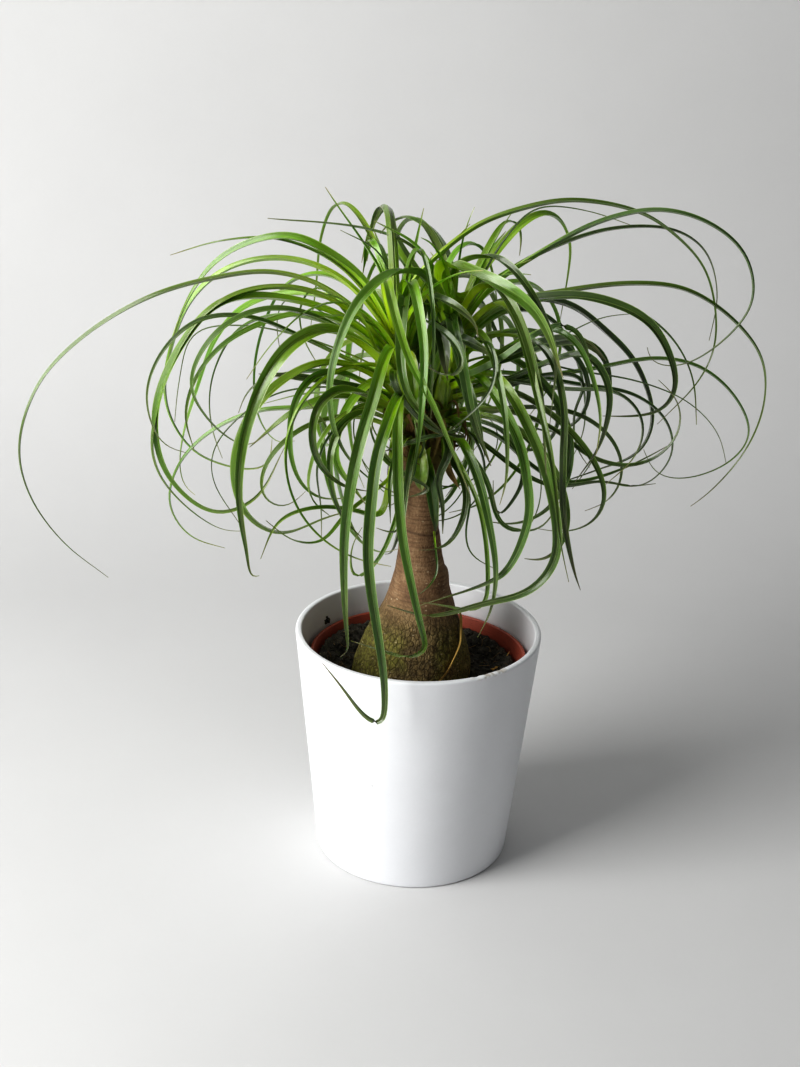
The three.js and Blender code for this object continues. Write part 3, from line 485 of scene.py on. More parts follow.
def tube(points, radii, sides):
    """A round tube along the points."""
    slope = slopes_of(points)
    across = np.cross(slope, [0.31, 0.95, 0.05])
    across /= np.linalg.norm(across, axis=1)[:, None]
    up = np.cross(slope, across)
    turn = around(sides)[None, :, None]
    ring = np.cos(turn) * across[:, None] + np.sin(turn) * up[:, None]
    rings = points[:, None] + ring * np.asarray(radii)[:, None, None]
    return rings.reshape(-1, 3), [face[::-1] for face in skin(len(points), sides)]


# ---- Leaf blades ------------------------------------------------------------------------

# Points across a blade, from its left edge over the top and back underneath.
TOP = [-1, -0.8, -0.45, -0.13, 0, 0.13, 0.45, 0.8, 1.0]
UNDER = [0.82, 0.4, 0, -0.4, -0.82]
SPAN = np.array(TOP + UNDER)
IS_UNDER = np.array([0.0] * len(TOP) + [1.0] * len(UNDER))
LEAF_FOLD = (56, 42, 30)    # slope of the two halves at the root, the middle and the tip, degrees
DRY_FOLD = (30, 30, 30)
RIPPLE = 5                  # swing of the twist along a blade, degrees
TIP_CURL = 70
BLADE_SHARP = 48            # creases above this angle stay sharp, degrees


def blade(bundle, points, across, width, twist, tone, taper, chance, thick=0.5, fold=LEAF_FOLD, root=1.6):
    """One channelled blade along the points, from its sheath to its whip tip."""
    count = len(points)
    share = np.linspace(0, 1, count)
    along = slopes_of(points)
    side = across[None] - along * (along @ across)[:, None]
    side /= np.linalg.norm(side, axis=1)[:, None]
    face = np.cross(along, side)
    wave = chance(0, TURN)
    turn = np.radians(twist * ease(0.1, 0.6, share)
                      + RIPPLE * np.sin(share * chance(5, 11) + wave) * ease(0.1, 0.5, share)
                      + chance(-TIP_CURL, TIP_CURL) * ease(0.72, 1, share))[:, None]
    side, face = side * np.cos(turn) + face * np.sin(turn), face * np.cos(turn) - side * np.sin(turn)
    half = 0.56 * width * np.clip(1 - share ** taper, 0, 1) ** 1.05
    sheath = (root - 1) * (1 - ease(0, 0.07, share))
    waist = 0.12 * ease(0.0, 0.06, share) * (1 - ease(0.06, 0.3, share))
    half = half * (1 + sheath - waist) + 0.28
    angle = np.radians(np.interp(share, [0, 0.08, 0.3, 1],
                                 [fold[0], mix(fold[0], fold[1], 0.7), fold[1], fold[2]]))[:, None]
    rise = np.sin(angle) * (np.sqrt(SPAN ** 2 + 0.004) - 0.063) - 0.07 * SPAN ** 6
    depth = (thick * (0.35 + 0.65 * np.clip(half / 4, 0, 1)))[:, None]
    depth = depth * (1 - 0.72 * SPAN ** 2 + 0.5 * np.exp(-(SPAN / 0.16) ** 2)) * IS_UNDER
    x = half[:, None] * np.cos(angle) * SPAN
    z = half[:, None] * rise - depth
    ring = points[:, None] + x[..., None] * side[:, None] + z[..., None] * face[:, None]
    marks = np.zeros((count, len(SPAN), 4))
    marks[..., 0] = share[:, None]
    marks[..., 1] = SPAN * 0.5 + 0.5
    marks[..., 2] = chance()
    marks[..., 3] = tone
    bundle.add(ring.reshape(-1, 3), skin(count, len(SPAN)), marks.reshape(-1, 4))


def axis_at(head, height):
    foot, tip = np.array(head["foot"]), np.array(head["tip"])
    return mix(foot, tip, np.clip((height - foot[2]) / (tip[2] - foot[2]), 0, 1))


def leaf(bundle, head, row, chance):
    """A leaf of a head from its row: it is rooted in the head's core."""
    azimuth, width, twist, tone, route, taper = (*row, TAPER)[:6]
    out = heading(math.radians(azimuth))
    across = beside(out)
    start = axis_at(head, route[0][1])
    root = (0.5, max(route[0][1] - ROOT_DEPTH, head["foot"][2] + 4))
    stations = []
    for station in [root, *route]:
        reach, height, aside = (*station, 0)[:3]
        stations.append(np.array([start[0], start[1], height]) + out * reach + across * aside)
    to_front = 1 if out[0] > -0.05 else -1
    blade(bundle, curve_through(stations, 4.2), across, width, twist * to_front, tone, taper, chance)


def bowed_route(rise, length, droop, height, drift=14, steps=9, start=4, bend=0.85):
    """Rises at one pitch, bows over and hangs, as its pitch falls by droop."""
    reach, level = start, height
    route = [(reach, level)]
    for step in range(steps):
        share = (step + 0.5) / steps
        pitch = math.radians(rise - droop * share ** bend)
        reach += length / steps * math.cos(pitch)
        level += length / steps * math.sin(pitch)
        route.append((reach, level, drift * share * share))
    return route


def kept_within(head, row):
    """The row with its reach cut where it would pass the frame's back."""
    angle = math.radians(row[0])
    start = axis_at(head, row[4][0][1])[1]
    far = max(reach * math.sin(angle) + sum(aside) * math.cos(angle) for reach, _, *aside in row[4])
    cut = min(1.0, (BACK_LIMIT - start) / max(far, 1.0))
    route = [(reach * cut, height, sum(aside) * cut) for reach, height, *aside in row[4]]
    return (*row[:4], route, *row[5:])


# ---- Shader nodes -----------------------------------------------------------------------

class Wiring:
    """Adds nodes to one tree and wires them; an input may be a value or another node's output."""

    def __init__(self, tree):
        self.tree = tree

    def feed(self, socket, value):
        if isinstance(value, bpy.types.NodeSocket):
            self.tree.links.new(value, socket)
        else:
            socket.default_value = (*value, 1) if socket.type == "RGBA" else value

    def node(self, kind, inputs=None, **settings):
        made = self.tree.nodes.new("ShaderNode" + kind)
        for name, value in settings.items():
            setattr(made, name, value)
        for key, value in (inputs or {}).items():
            self.feed(made.inputs[key], value)
        return made

    def math(self, operation, first, second=0.0, clamp=False):
        return self.node("Math", {0: first, 1: second}, operation=operation, use_clamp=clamp).outputs[0]

    def times(self, first, second):
        return self.math("MULTIPLY", first, second)

    def vector(self, operation, first, inputs):
        return self.node("VectorMath", {0: first, **inputs}, operation=operation).outputs[0]

    def stretched(self, place, x, y, z):
        return self.vector("MULTIPLY", place, {1: (x, y, z)})

    def blend(self, share, first, second, way="MIX"):
        made = self.node("Mix", {0: share}, data_type="RGBA", blend_type=way)
        self.feed(made.inputs[6], first)
        self.feed(made.inputs[7], second)
        return made.outputs[2]

    def remap(self, value, low, high, start=0.0, end=1.0):
        return self.node("MapRange", {0: value, 1: low, 2: high, 3: start, 4: end}).outputs[0]

    def ramp(self, value, *stops):
        made = self.node("ValToRGB", {0: value})
        bar = made.color_ramp.elements
        while len(bar) < len(stops):
            bar.new(0.5)
        for element, (place, _) in zip(bar, stops):
            element.position = place
        for element, (_, color) in zip(bar, stops):
            element.color = (*color, 1)
        return made.outputs[0]

    def noise(self, place, scale, detail=4.0, rough=0.55):
        inputs = {"Vector": place, "Scale": scale, "Detail": detail, "Roughness": rough}
        return self.node("TexNoise", inputs).outputs["Fac"]

    def cells(self, place, scale, feature="F1"):
        return self.node("TexVoronoi", {"Vector": place, "Scale": scale}, feature=feature).outputs

    def channels(self, color):
        return self.node("SeparateColor", {0: color}).outputs

    def joined(self, x, y, z):
        return self.node("CombineXYZ", {0: x, 1: y, 2: z}).outputs[0]

    def place(self):
        return self.node("TexCoord").outputs["Object"]

    def marks(self, label):
        """The four numbers that a piece's points are marked with."""
        found = self.node("Attribute", attribute_name=label, attribute_type="GEOMETRY").outputs
        return (*self.channels(found["Color"]), found["Alpha"])

    def group(self, shared, *values):
        """A shared group's node, with its inputs fed in their order."""
        made = self.node("Group", node_tree=shared())
        for socket, value in zip(made.inputs, values):
            self.feed(socket, value)
        return made.outputs


def shared_group(name, inputs, outputs):
    """Makes a function that wires results into one that gives the group, built at first use."""
    def with_filling(fill):
        def group_tree():
            if name in bpy.data.node_groups:
                return bpy.data.node_groups[name]
            tree = bpy.data.node_groups.new(name, "ShaderNodeTree")
            for label, value in inputs.items():
                kind = "NodeSocketVector" if value is None else "NodeSocketFloat"
                socket = tree.interface.new_socket(label, in_out="INPUT", socket_type=kind)
                if value is not None:
                    socket.default_value = value
            for label in outputs:
                tree.interface.new_socket(label, in_out="OUTPUT", socket_type="NodeSocketFloat")
            wires = Wiring(tree)
            results = fill(wires, *tree.nodes.new("NodeGroupInput").outputs[:len(inputs)])
            out = tree.nodes.new("NodeGroupOutput").inputs
            for label, result in zip(outputs, results):
                wires.feed(out[label], result)
            return tree
        return group_tree
    return with_filling


@shared_group("Mottle", {"Vector": None, "Blotch Scale": 60, "Grain Scale": 600, "Grain Share": 0.4},
              ("Mask", "Height"))
def mottle(wires, place, blotch_scale, grain_scale, grain_share):
    """Soft blotches with finer grain over them, as a colour mask and a height."""
    blotch = wires.noise(place, blotch_scale, 5, 0.6)
    grain = wires.noise(place, grain_scale, 3, 0.6)
    height = wires.node("Mix", {0: grain_share, 2: blotch, 3: grain}, data_type="FLOAT").outputs[0]
    return wires.remap(height, 0.3, 0.7), height


@shared_group("Specks", {"Vector": None, "Scale": 200, "Size": 0.15, "Share": 0.2}, ("Mask",))
def specks(wires, place, scale, size, share):
    """Small round specks, scattered at random."""
    cells = wires.cells(place, scale)
    near = wires.math("LESS_THAN", cells["Distance"], size)
    chosen = wires.math("LESS_THAN", wires.channels(cells["Color"])[0], share)
    return (wires.times(near, chosen),)


@shared_group("Bark Plates", {"Vector": None, "Scale": 250, "Warp": 0.002, "Crack Width": 0.09},
              ("Crack", "Tone"))
def plates(wires, place, scale, warp, crack_width):
    """Bark split into small plates: the cracks between them, and a tone for each plate."""
    drift = wires.node("TexNoise", {"Vector": place, "Scale": 120.0, "Detail": 3.0}).outputs["Color"]
    centred = wires.vector("SUBTRACT", drift, {1: (0.5, 0.5, 0.5)})
    moved = wires.vector("ADD", place, {1: wires.vector("SCALE", centred, {"Scale": warp})})
    edge = wires.cells(moved, scale, "DISTANCE_TO_EDGE")["Distance"]
    return (wires.remap(edge, 0.0, crack_width, 1.0, 0.0),
            wires.channels(wires.cells(moved, scale)["Color"])[0])


@shared_group("Leaf Fibre", {"Along": 0.0, "Across": 0.0, "Seed": 0.0, "Veins": 15.0},
              ("Vein", "Streak", "Patch"))
def fibre(wires, along, across, seed, veins):
    """Fine veins along a blade, longer streaks of light and dark, and patches down its length."""
    vein = wires.math("PINGPONG", wires.times(across, veins), 0.5)
    apart = wires.times(seed, 71.0)
    streak = wires.noise(wires.joined(wires.times(along, 1.8), wires.times(across, 1.7), apart), 2.2, 4, 0.6)
    patch = wires.noise(wires.joined(wires.times(along, 9.0), wires.times(across, 0.8), apart), 1.0, 2, 0.5)
    return wires.times(vein, 2.0), wires.remap(streak, 0.32, 0.68), wires.remap(patch, 0.3, 0.7)


# ---- Finishes ---------------------------------------------------------------------------

class Finish(Wiring):
    """A new material, its one shader and the wiring of its nodes."""

    def __init__(self, name):
        self.material = bpy.data.materials.new(name)
        self.material.use_nodes = True
        super().__init__(self.material.node_tree)
        self.tree.nodes.clear()
        self.shader = self.node("BsdfPrincipled")
        self.output = self.node("OutputMaterial", {"Surface": self.shader.outputs[0]})

    def surface(self, color, rough, specular, height=None, distance=0.0, strength=0.0):
        """Feeds the shader its colour, roughness, share of reflection and relief."""
        self.feed(self.shader.inputs["Base Color"], color)
        self.feed(self.shader.inputs["Roughness"], rough)
        self.shader.inputs["Specular IOR Level"].default_value = specular
        if height is not None:
            relief = self.node("Bump", {"Height": height, "Distance": distance, "Strength": strength})
            self.feed(self.shader.inputs["Normal"], relief.outputs[0])
        return self.material


def dimmed(color, share):
    return tuple(c * share for c in color)


def mid_tone(first, second, share):
    return tuple(mix(a, b, share) for a, b in zip(first, second))


def glaze_finish(color):
    """White glazed ceramic: clean, with a trace of clouding, specks, and wear along the rim."""
    glaze = Finish("white_glaze")
    place = glaze.place()
    cloud = glaze.group(mottle, place, 26.0, 420.0, 0.3)
    speck = glaze.group(specks, place, 95.0, 0.09, 0.006)["Mask"]
    chip, dust, _, _ = glaze.marks("wear")
    clean = glaze.blend(cloud["Mask"], dimmed(color, 0.965), color)
    speckled = glaze.blend(glaze.times(speck, 0.25), clean, (0.2, 0.17, 0.14))
    dusty = glaze.blend(dust, speckled, (0.20, 0.165, 0.13))
    chipped = glaze.blend(chip, dusty, (0.50, 0.47, 0.43))
    rough = glaze.math("MAXIMUM", glaze.remap(cloud["Mask"], 0, 1, 0.30, 0.42), glaze.times(chip, 0.8))
    return glaze.surface(chipped, rough, 0.45, cloud["Height"], 0.0005, 0.35)


def plastic_finish(color):
    """Terracotta-red moulded plastic, scuffed and dusted with soil."""
    plastic = Finish("red_plastic")
    place = plastic.place()
    cloud = plastic.group(mottle, place, 55.0, 900.0, 0.45)
    scuffs = plastic.noise(plastic.stretched(place, 1, 1, 9), 140.0, 6, 0.7)
    clean = plastic.blend(cloud["Mask"], dimmed(color, 0.72), color)
    soiled = plastic.blend(plastic.remap(scuffs, 0.56, 0.72, 0, 0.7), clean, (0.07, 0.04, 0.028))
    return plastic.surface(soiled, plastic.remap(cloud["Mask"], 0, 1, 0.42, 0.6), 0.5,
                           cloud["Height"], 0.0004, 0.5)


def soil_finish():
    """Dark bark compost with paler fibres and mineral specks."""
    soil = Finish("potting_soil")
    place = soil.place()
    cloud = soil.group(mottle, place, 120.0, 900.0, 0.5)
    speck = soil.group(specks, place, 330.0, 0.3, 0.05)["Mask"]
    earth = soil.ramp(cloud["Mask"], (0.0, (0.026, 0.025, 0.022)), (0.55, (0.072, 0.067, 0.054)),
                      (0.85, (0.15, 0.13, 0.095)), (1.0, (0.30, 0.25, 0.18)))
    flecked = soil.blend(speck, earth, (0.22, 0.18, 0.13))
    return soil.surface(flecked, soil.remap(cloud["Mask"], 0, 1, 0.95, 0.7), 0.3,
                        cloud["Height"], 0.0015, 0.9)


def bark_finish():
    """Grey-brown bark: dark fissures below, ring scars and pale flecks above, green at the base."""
    bark = Finish("bark")
    place = bark.place()
    fissure, scar, moss, above = bark.marks("bark")
    cloud = bark.group(mottle, place, 75.0, 520.0, 0.45)
    fine = bark.noise(bark.stretched(place, 1, 1, 0.55), 900.0, 4, 0.6)
    rings = bark.noise(bark.stretched(place, 0.12, 0.12, 1), 800.0, 3, 0.6)
    tall = bark.stretched(place, 1, 1, 0.6)
    plate = bark.group(plates, tall, 290.0, 0.005, 0.13)
    flake = bark.group(plates, tall, 640.0, 0.003, 0.12)
    fleck = bark.group(specks, bark.stretched(place, 1, 1, 1.9), 230.0, 0.22, 0.2)["Mask"]
    plated = bark.ramp(bark.math("ADD", bark.times(cloud["Mask"], 0.65), bark.times(plate["Tone"], 0.35)),
                       (0.0, (0.125, 0.090, 0.037)), (0.45, (0.24, 0.175, 0.076)),
                       (0.8, (0.39, 0.295, 0.145)), (1.0, (0.55, 0.44, 0.25)))
    smooth = bark.ramp(bark.math("ADD", bark.times(cloud["Mask"], 0.6), bark.times(rings, 0.4)),
                       (0.15, (0.135, 0.078, 0.042)), (0.5, (0.25, 0.155, 0.085)),
                       (0.85, (0.42, 0.30, 0.18)))
    bare = bark.blend(above, plated, smooth)
    mossy = bark.blend(bark.times(moss, bark.remap(fine, 0.35, 0.65, 0.45, 1.0)), bare, (0.20, 0.205, 0.036))
    lined = bark.blend(bark.times(scar, 0.9), mossy, (0.070, 0.040, 0.024))
    flecked = bark.blend(bark.times(fleck, 0.6), lined, (0.60, 0.50, 0.34))
    cracks = bark.math("MAXIMUM", plate["Crack"], bark.times(flake["Crack"], 0.4))
    split = bark.times(cracks, bark.math("SUBTRACT", 1.0, above, clamp=True))
    dark = bark.math("MAXIMUM", bark.times(fissure, 0.7), bark.times(split, 0.72))
    grain = bark.math("ADD", fine, bark.times(cloud["Height"], 0.8))
    return bark.surface(bark.blend(dark, flecked, (0.030, 0.022, 0.012)),
                        bark.remap(cloud["Mask"], 0, 1, 0.66, 0.84), 0.35,
                        bark.math("SUBTRACT", grain, bark.times(split, 1.1)), 0.0011, 0.8)


LEAF_SHEEN = {
    "Coat Weight": 0.85, "Coat Roughness": 0.21, "Subsurface Weight": 0.25,
    "Subsurface Radius": (0.5, 1.0, 0.1), "Subsurface Scale": 0.0012,
}
PALE_TIP, BROWN_TIP = (0.44, 0.38, 0.18), (0.17, 0.125, 0.062)


def leaf_finish(young, grown, aged):
    """Strap leaf: yellow-green at its foot, grass green along it, brown at its whip tip."""
    strap = Finish("leaf")
    along, across, seed, tone = strap.marks("blade")
    grain = strap.group(fibre, along, across, seed, 13.0)
    drift = strap.math("ADD", along, strap.remap(grain["Streak"], 0, 1, -0.05, 0.05))
    fresh = strap.ramp(drift, (0.0, (0.74, 0.90, 0.03)), (0.13, young), (0.36, mid_tone(young, grown, 0.65)),
                       (0.62, grown), (0.90, mid_tone(grown, PALE_TIP, 0.3)), (1.0, PALE_TIP))
    old = strap.ramp(drift, (0.0, (0.55, 0.68, 0.03)), (0.09, mid_tone(young, grown, 0.6)), (0.28, aged),
                     (0.7, dimmed(aged, 0.85)), (0.92, mid_tone(aged, BROWN_TIP, 0.4)), (1.0, BROWN_TIP))
    # The tone that mixes fresh and old colour also carries the painted shade and light set in the leaf rows.
    base = strap.blend(strap.remap(tone, 0.1, 0.85), fresh, old)
    light = strap.times(strap.remap(grain["Patch"], 0, 1, 0.86, 1.14), strap.remap(seed, 0, 1, 0.74, 1.3))
    varied = strap.node("HueSaturation", {
        "Hue": strap.remap(seed, 0, 1, 0.488, 0.512),
        "Saturation": strap.remap(grain["Patch"], 0, 1, 1.06, 0.92),
        "Value": strap.times(light, strap.remap(grain["Streak"], 0, 1, 0.62, 1.34)),
        "Color": base}).outputs[0]
    from_rib = strap.math("ABSOLUTE", strap.math("SUBTRACT", across, 0.5))
    rib = strap.times(strap.remap(from_rib, 0.06, 0.015), strap.remap(grain["Streak"], 0.2, 0.8, 0.1, 0.6))
    ribbed = strap.blend(rib, varied, (0.40, 0.54, 0.17))
    veined = strap.blend(strap.times(grain["Vein"], 0.30), ribbed,
                         strap.blend(1.0, ribbed, (0.52, 0.60, 0.46), "MULTIPLY"))
    edged = strap.blend(strap.remap(from_rib, 0.43, 0.49, 0, 0.7), veined, (0.42, 0.54, 0.22))
    for socket, value in LEAF_SHEEN.items():
        strap.shader.inputs[socket].default_value = value
    return strap.surface(edged, strap.remap(grain["Streak"], 0, 1, 0.24, 0.36), 0.65,
                         grain["Vein"], 0.00022, 0.7)


def dry_finish(name, pale, dark):
    """Dead leaf: papery tan with darker fibres and spots, and a little green where it is marked."""
    dry = Finish(name)
    along, across, seed, green = dry.marks("blade")
    grain = dry.group(fibre, along, across, seed, 9.0)
    cloud = dry.group(mottle, dry.place(), 240.0, 1500.0, 0.4)
    base = dry.blend(grain["Streak"], dark, pale)
    toned = dry.blend(green, base, (0.30, 0.40, 0.03))
    lined = dry.blend(dry.times(grain["Vein"], 0.35), toned, dimmed(dark, 0.55))
    spotted = dry.blend(dry.remap(cloud["Mask"], 0.55, 1.0, 0, 0.6), lined, dimmed(dark, 0.4))
    return dry.surface(spotted, dry.remap(cloud["Mask"], 0, 1, 0.6, 0.85), 0.3,
                       dry.math("ADD", grain["Vein"], cloud["Height"]), 0.0004, 0.8)


def paper_finish(color):
    """Matte paper: nearly even, with the faintest clouding, and clear from behind."""
    paper = Finish("paper_sweep")
    cloud = paper.group(mottle, paper.place(), 3.0, 260.0, 0.15)["Mask"]
    tint = paper.blend(cloud, dimmed(color, 0.955), color)
    material = paper.surface(tint, paper.remap(cloud, 0, 1, 0.75, 0.9), 0.2)
    behind = paper.node("NewGeometry").outputs["Backfacing"]
    clear = paper.node("BsdfTransparent").outputs[0]
    one_sided = paper.node("MixShader", {0: behind, 1: paper.shader.outputs[0], 2: clear})
    paper.feed(paper.output.inputs["Surface"], one_sided.outputs[0])
    return material


# ---- Pots -------------------------------------------------------------------------------

COVER_SIDES, NURSERY_SIDES = 320, 288


def rim_flakes(turns, levels):
    """Noise that runs along the rim, for its chips."""
    places = zip(turns, levels)
    return np.array([noise.noise(Vector((turn * 34, level * 0.5, 3.1))) for turn, level in places])


def stretch_of(low, high, lean):
    """1 between two angles in degrees, with soft ends given as pairs."""
    return ease(*low, lean) * (1 - ease(*high, lean))


def lean_of(turn):
    return np.degrees((turn + math.pi) % TURN - math.pi)


def cover_pot(height, rim, base, wall, floor):
    """The tapered cover pot with its rounded lip, small chips in the lip, and dust inside."""
    slope = (rim - base) / height
    sides = [(base + slope * z, z) for z in np.linspace(0, height, 15)[1:-1]]
    inside = [(base + slope * z - wall, z) for z in np.linspace(height, floor, 15)[1:-1]]
    corners = [(0, 0), (base - 12, 0), (base - 8, 0), (base, 0), *sides, (rim, height), (rim - wall, height),
               *inside, (base + slope * floor - wall, floor), (30, floor), (0, floor)]
    radii = [0, 0, 0, 2.6] + [0] * len(sides) + [2.1, 1.7] + [0] * len(inside) + [5, 0, 0]

    def chipped(radius, z, turn):
        patch = stretch_of((-66, -60), (-49, -44), lean_of(turn))
        bite = patch * ease(0.05, 0.4, rim_flakes(turn, z)) * ease(height - 1.8, height - 0.4, z)
        z = z - 0.75 * bite
        out = 0.22 * np.sin(2 * turn + 0.6) * ease(0, height, z)
        return radius + out * (radius > 40), z

    points, faces = spun(rounded(corners, radii), COVER_SIDES, chipped)
    x, y, z = points.T
    lean = np.degrees(np.arctan2(y, x))
    patch = stretch_of((-67, -60), (-48, -43), lean)
    grit = np.array([noise.noise(Vector(p) * 0.12) for p in points])
    is_inside = (np.hypot(x, y) < base + slope * z - wall * 0.6) & (z > floor + 1)
    wear = np.zeros((len(points), 4))
    wear[:, 0] = patch * ease(0.0, 0.3, rim_flakes(np.radians(lean), z)) * ease(height - 2.4, height - 0.8, z)
    wear[:, 1] = is_inside * ease(0.1, 0.5, grit) * (1 - ease(150, 166, z)) * 0.5
    return points, faces, wear


def nursery_pot(foot, base, rim, top, band, step, wall):
    """The thin red pot: a stiffened band under the rim, a slight warp, and a split in the rim."""
    shoulder, lip = top - band, rim - 2.4
    side = rim - step
    slope = (side - base) / (shoulder - foot)
    inner = (lip - base + wall) / (top - foot - wall)
    corners = [(0, foot), (base - 4, foot), (base, foot)]
    corners += [(base + slope * (z - foot), z) for z in np.linspace(foot, shoulder, 9)[1:-1]]
    corners += [(side, shoulder), (rim, shoulder), (rim + 0.3, top - 2), (rim + 0.3, top), (lip, top)]
    corners += [(lip - inner * (top - z), z) for z in np.linspace(top, foot + wall, 13)[1:-1]]
    corners += [(base - wall, foot + wall), (20, foot + wall), (0, foot + wall)]
    radii = [0, 0, 1.5] + [0] * 7 + [0.5, 0.8, 0, 0.9, 0.9] + [0] * 11 + [1.2, 0, 0]

    def warped(radius, z, turn):
        free = ease(foot + 40, top, z)
        radius = radius + free * (0.55 * np.sin(3 * turn + 1.0) + 0.25 * np.sin(7 * turn)) - free * 0.4
        split = np.exp(-((lean_of(turn) + 9) / 1.3) ** 2) * ease(shoulder + 2, top, z)
        return radius, z - 5.5 * split + 0.35 * free * np.sin(2 * turn + 2)

    return spun(rounded(corners, radii, 4), NURSERY_SIDES, warped)


# ---- Soil -------------------------------------------------------------------------------

SOIL_FOOT, SOIL_EDGE, SOIL_FOOT_RADIUS = 9.0, 76.6, 56
CRUMBS, ROOTS = 1150, 70

# The clod that sticks to the cover pot's inside wall: angle, height and size of its lumps.
CLOD = ((146, 168, 2.4), (147.4, 166.4, 1.7), (144.8, 166, 1.5), (146.3, 170.6, 1.2), (148, 168.6, 1.0))


def soil_height(x, y):
    """The frame's own swells, for the places of crumbs and scraps."""
    swell = math.sin(x * 0.11 + 1.3) * math.cos(y * 0.13 - 0.4)
    crumb = math.sin(x * 0.47 + y * 0.31) * math.sin(y * 0.53 - x * 0.22 + 2)
    return SOIL_LEVEL + 2.2 * (0.5 * swell + 0.5 * crumb)


def soil_top(x, y):
    """The lumpy surface, banked up against the red pot's wall."""
    lumps = noise.fractal(Vector((x, y, 4.0)) / 9.0, 0.7, 2.0, 4)
    cell = noise.voronoi(Vector((x, y, 9.0)) / 4.2)[0]
    bank = ease(54, 76, math.hypot(x, y)) * (10 + 3.5 * math.cos(math.atan2(y, x) - math.radians(170)))
    return soil_height(x, y) + 1.3 * lumps - 1.5 * cell[0] + 0.7 + bank


def soil_bed(sides=300):
    """A closed ring of soil from the stem's socket to the red pot's wall, lumpy on top."""
    turn = around(sides)
    circle = np.column_stack([np.cos(turn), np.sin(turn)])
    inner = [SOCKET_X, 0] + SOCKET_RADIUS * circle
    outer = SOIL_EDGE * circle
    low = outer * (SOIL_FOOT_RADIUS / SOIL_EDGE)
    rows = [(low * 0.05, SOIL_FOOT), (low * 0.6, SOIL_FOOT), (low, SOIL_FOOT)]
    rows += [(mix(low, outer, t), mix(SOIL_FOOT, SOIL_LEVEL - 4, t)) for t in np.linspace(0.1, 1, 10)]
    rows += [(mix(outer, inner, t), None) for t in np.linspace(0, 1, 26)]
    rows += [(inner, SOIL_LEVEL - 10), (inner, 114.2), (inner * 0.5, 113.7), (inner * 0.04, 113.7)]
    points = [(x, y, soil_top(x, y) if height is None else height)
              for place, height in rows for x, y in place]
    return np.array(points), skin(len(rows), sides)


def lump(centre, size, chance, squash=0.7):
    """A rough crumb: a small ball pushed about at random."""
    rings, sides = 4, 6
    spin = chance(0, TURN)
    points = []
    for r in range(rings + 1):
        lift = math.pi * (r + 0.35) / (rings + 0.7)
        for s in range(sides):
            out = heading(TURN * s / sides + spin)
            reach = size * chance(0.65, 1.25)
            points.append(reach * (math.sin(lift) * out) - [0, 0, reach * math.cos(lift) * squash])
    tilt = Matrix.Rotation(chance(-0.6, 0.6), 3, "X") @ Matrix.Rotation(chance(-0.6, 0.6), 3, "Y")
    return np.array(points) @ np.array(tilt).T + np.array(centre), skin(rings + 1, sides)


def crumbs(bundle, chance):
    """Loose crumbs and bark chips all over the soil, and the clod on the pot's wall."""
    for _ in range(CRUMBS):
        turn = chance(0, TURN)
        reach = mix(48.5, 74, chance())
        x = SOCKET_X * (1 - (reach - 48) / 27) + reach * math.cos(turn)
        y = reach * math.sin(turn)
        size = 0.55 + 1.7 * chance() ** 2.6
        shape = lump((x, y, soil_top(x, y) + size * 0.3), size, chance, chance(0.45, 0.9))
        bundle.add(*shape, chance())
    for angle, height, size in CLOD:
        radius = 88.2 + 0.1 * (height - 165) - size * 0.4
        place = radius * heading(math.radians(angle)) + [0, 0, height]
        bundle.add(*lump(place, size, chance, 0.8), 0.3)


def rootlets(bundle, chance):
    """Pale roots and straws that lie about in the soil."""
    for _ in range(ROOTS):
        turn = chance(0, TURN)
        reach = chance(50, 73)
        course = chance(0, TURN)
        route = []
        for step in range(4):
            x = SOCKET_X * 0.5 + reach * math.cos(turn) + math.cos(course) * step * chance(1.2, 3.2)
            y = reach * math.sin(turn) + math.sin(course) * step * chance(1.2, 3.2)
            if math.hypot(x, y) > 74 or math.hypot(x - SOCKET_X, y) < SOCKET_RADIUS + 0.5:
                break
            route.append((x, y, soil_top(x, y) + chance(0.3, 2.2)))
            course += chance(-0.7, 0.7)
        if len(route) < 3:
            continue
        path = curve_through(route, 0.9)
        shape = tube(path, np.full(len(path), chance(0.14, 0.32)), 5)
        bundle.add(*shape, (0.5, 0.5, chance(), 0.0))


# ---- Stem -------------------------------------------------------------------------------

STEM_ROWS, STEM_SIDES = 236, 288
BARK_SEED = 1795404524      # for the warp of the bark's plates, which would otherwise follow the clock
SCARS = [Chance(7 + 13 * k)(0.35, 1.0) for k in range(40)]      # how strong each ring scar is


def stem_at(height):
    """Centre x and radius of the stem."""
    table = np.array(STEM_STATIONS, float)
    return np.interp(height, table[:, 0], table[:, 1]), np.interp(height, table[:, 0], table[:, 2])


def stem_grid():
    """The plain swollen stem as a closed tube of level rings."""
    levels = np.concatenate([np.linspace(STEM_FOOT, 142, 8)[:-1], np.linspace(142, STEM_FORK, STEM_ROWS)])
    fine = np.linspace(STEM_FOOT, STEM_FORK, 409)
    centre, radius = stem_at(fine)
    soft = np.exp(-np.linspace(-2, 2, 17) ** 2)
    soft /= soft.sum()
    padded = np.pad(radius, 8, mode="reflect", reflect_type="odd")
    radius = np.interp(levels, fine, np.convolve(padded, soft, "valid"))[:, None]
    centre = np.interp(levels, fine, np.convolve(np.pad(centre, 8, mode="edge"), soft, "valid"))[:, None]
    turn = around(STEM_SIDES)
    points = np.zeros((len(levels), STEM_SIDES, 3))
    points[..., 0] = centre + radius * np.cos(turn)
    points[..., 1] = radius * np.sin(turn)
    points[..., 2] = levels[:, None]
    return points.reshape(-1, 3), skin(len(levels), STEM_SIDES)


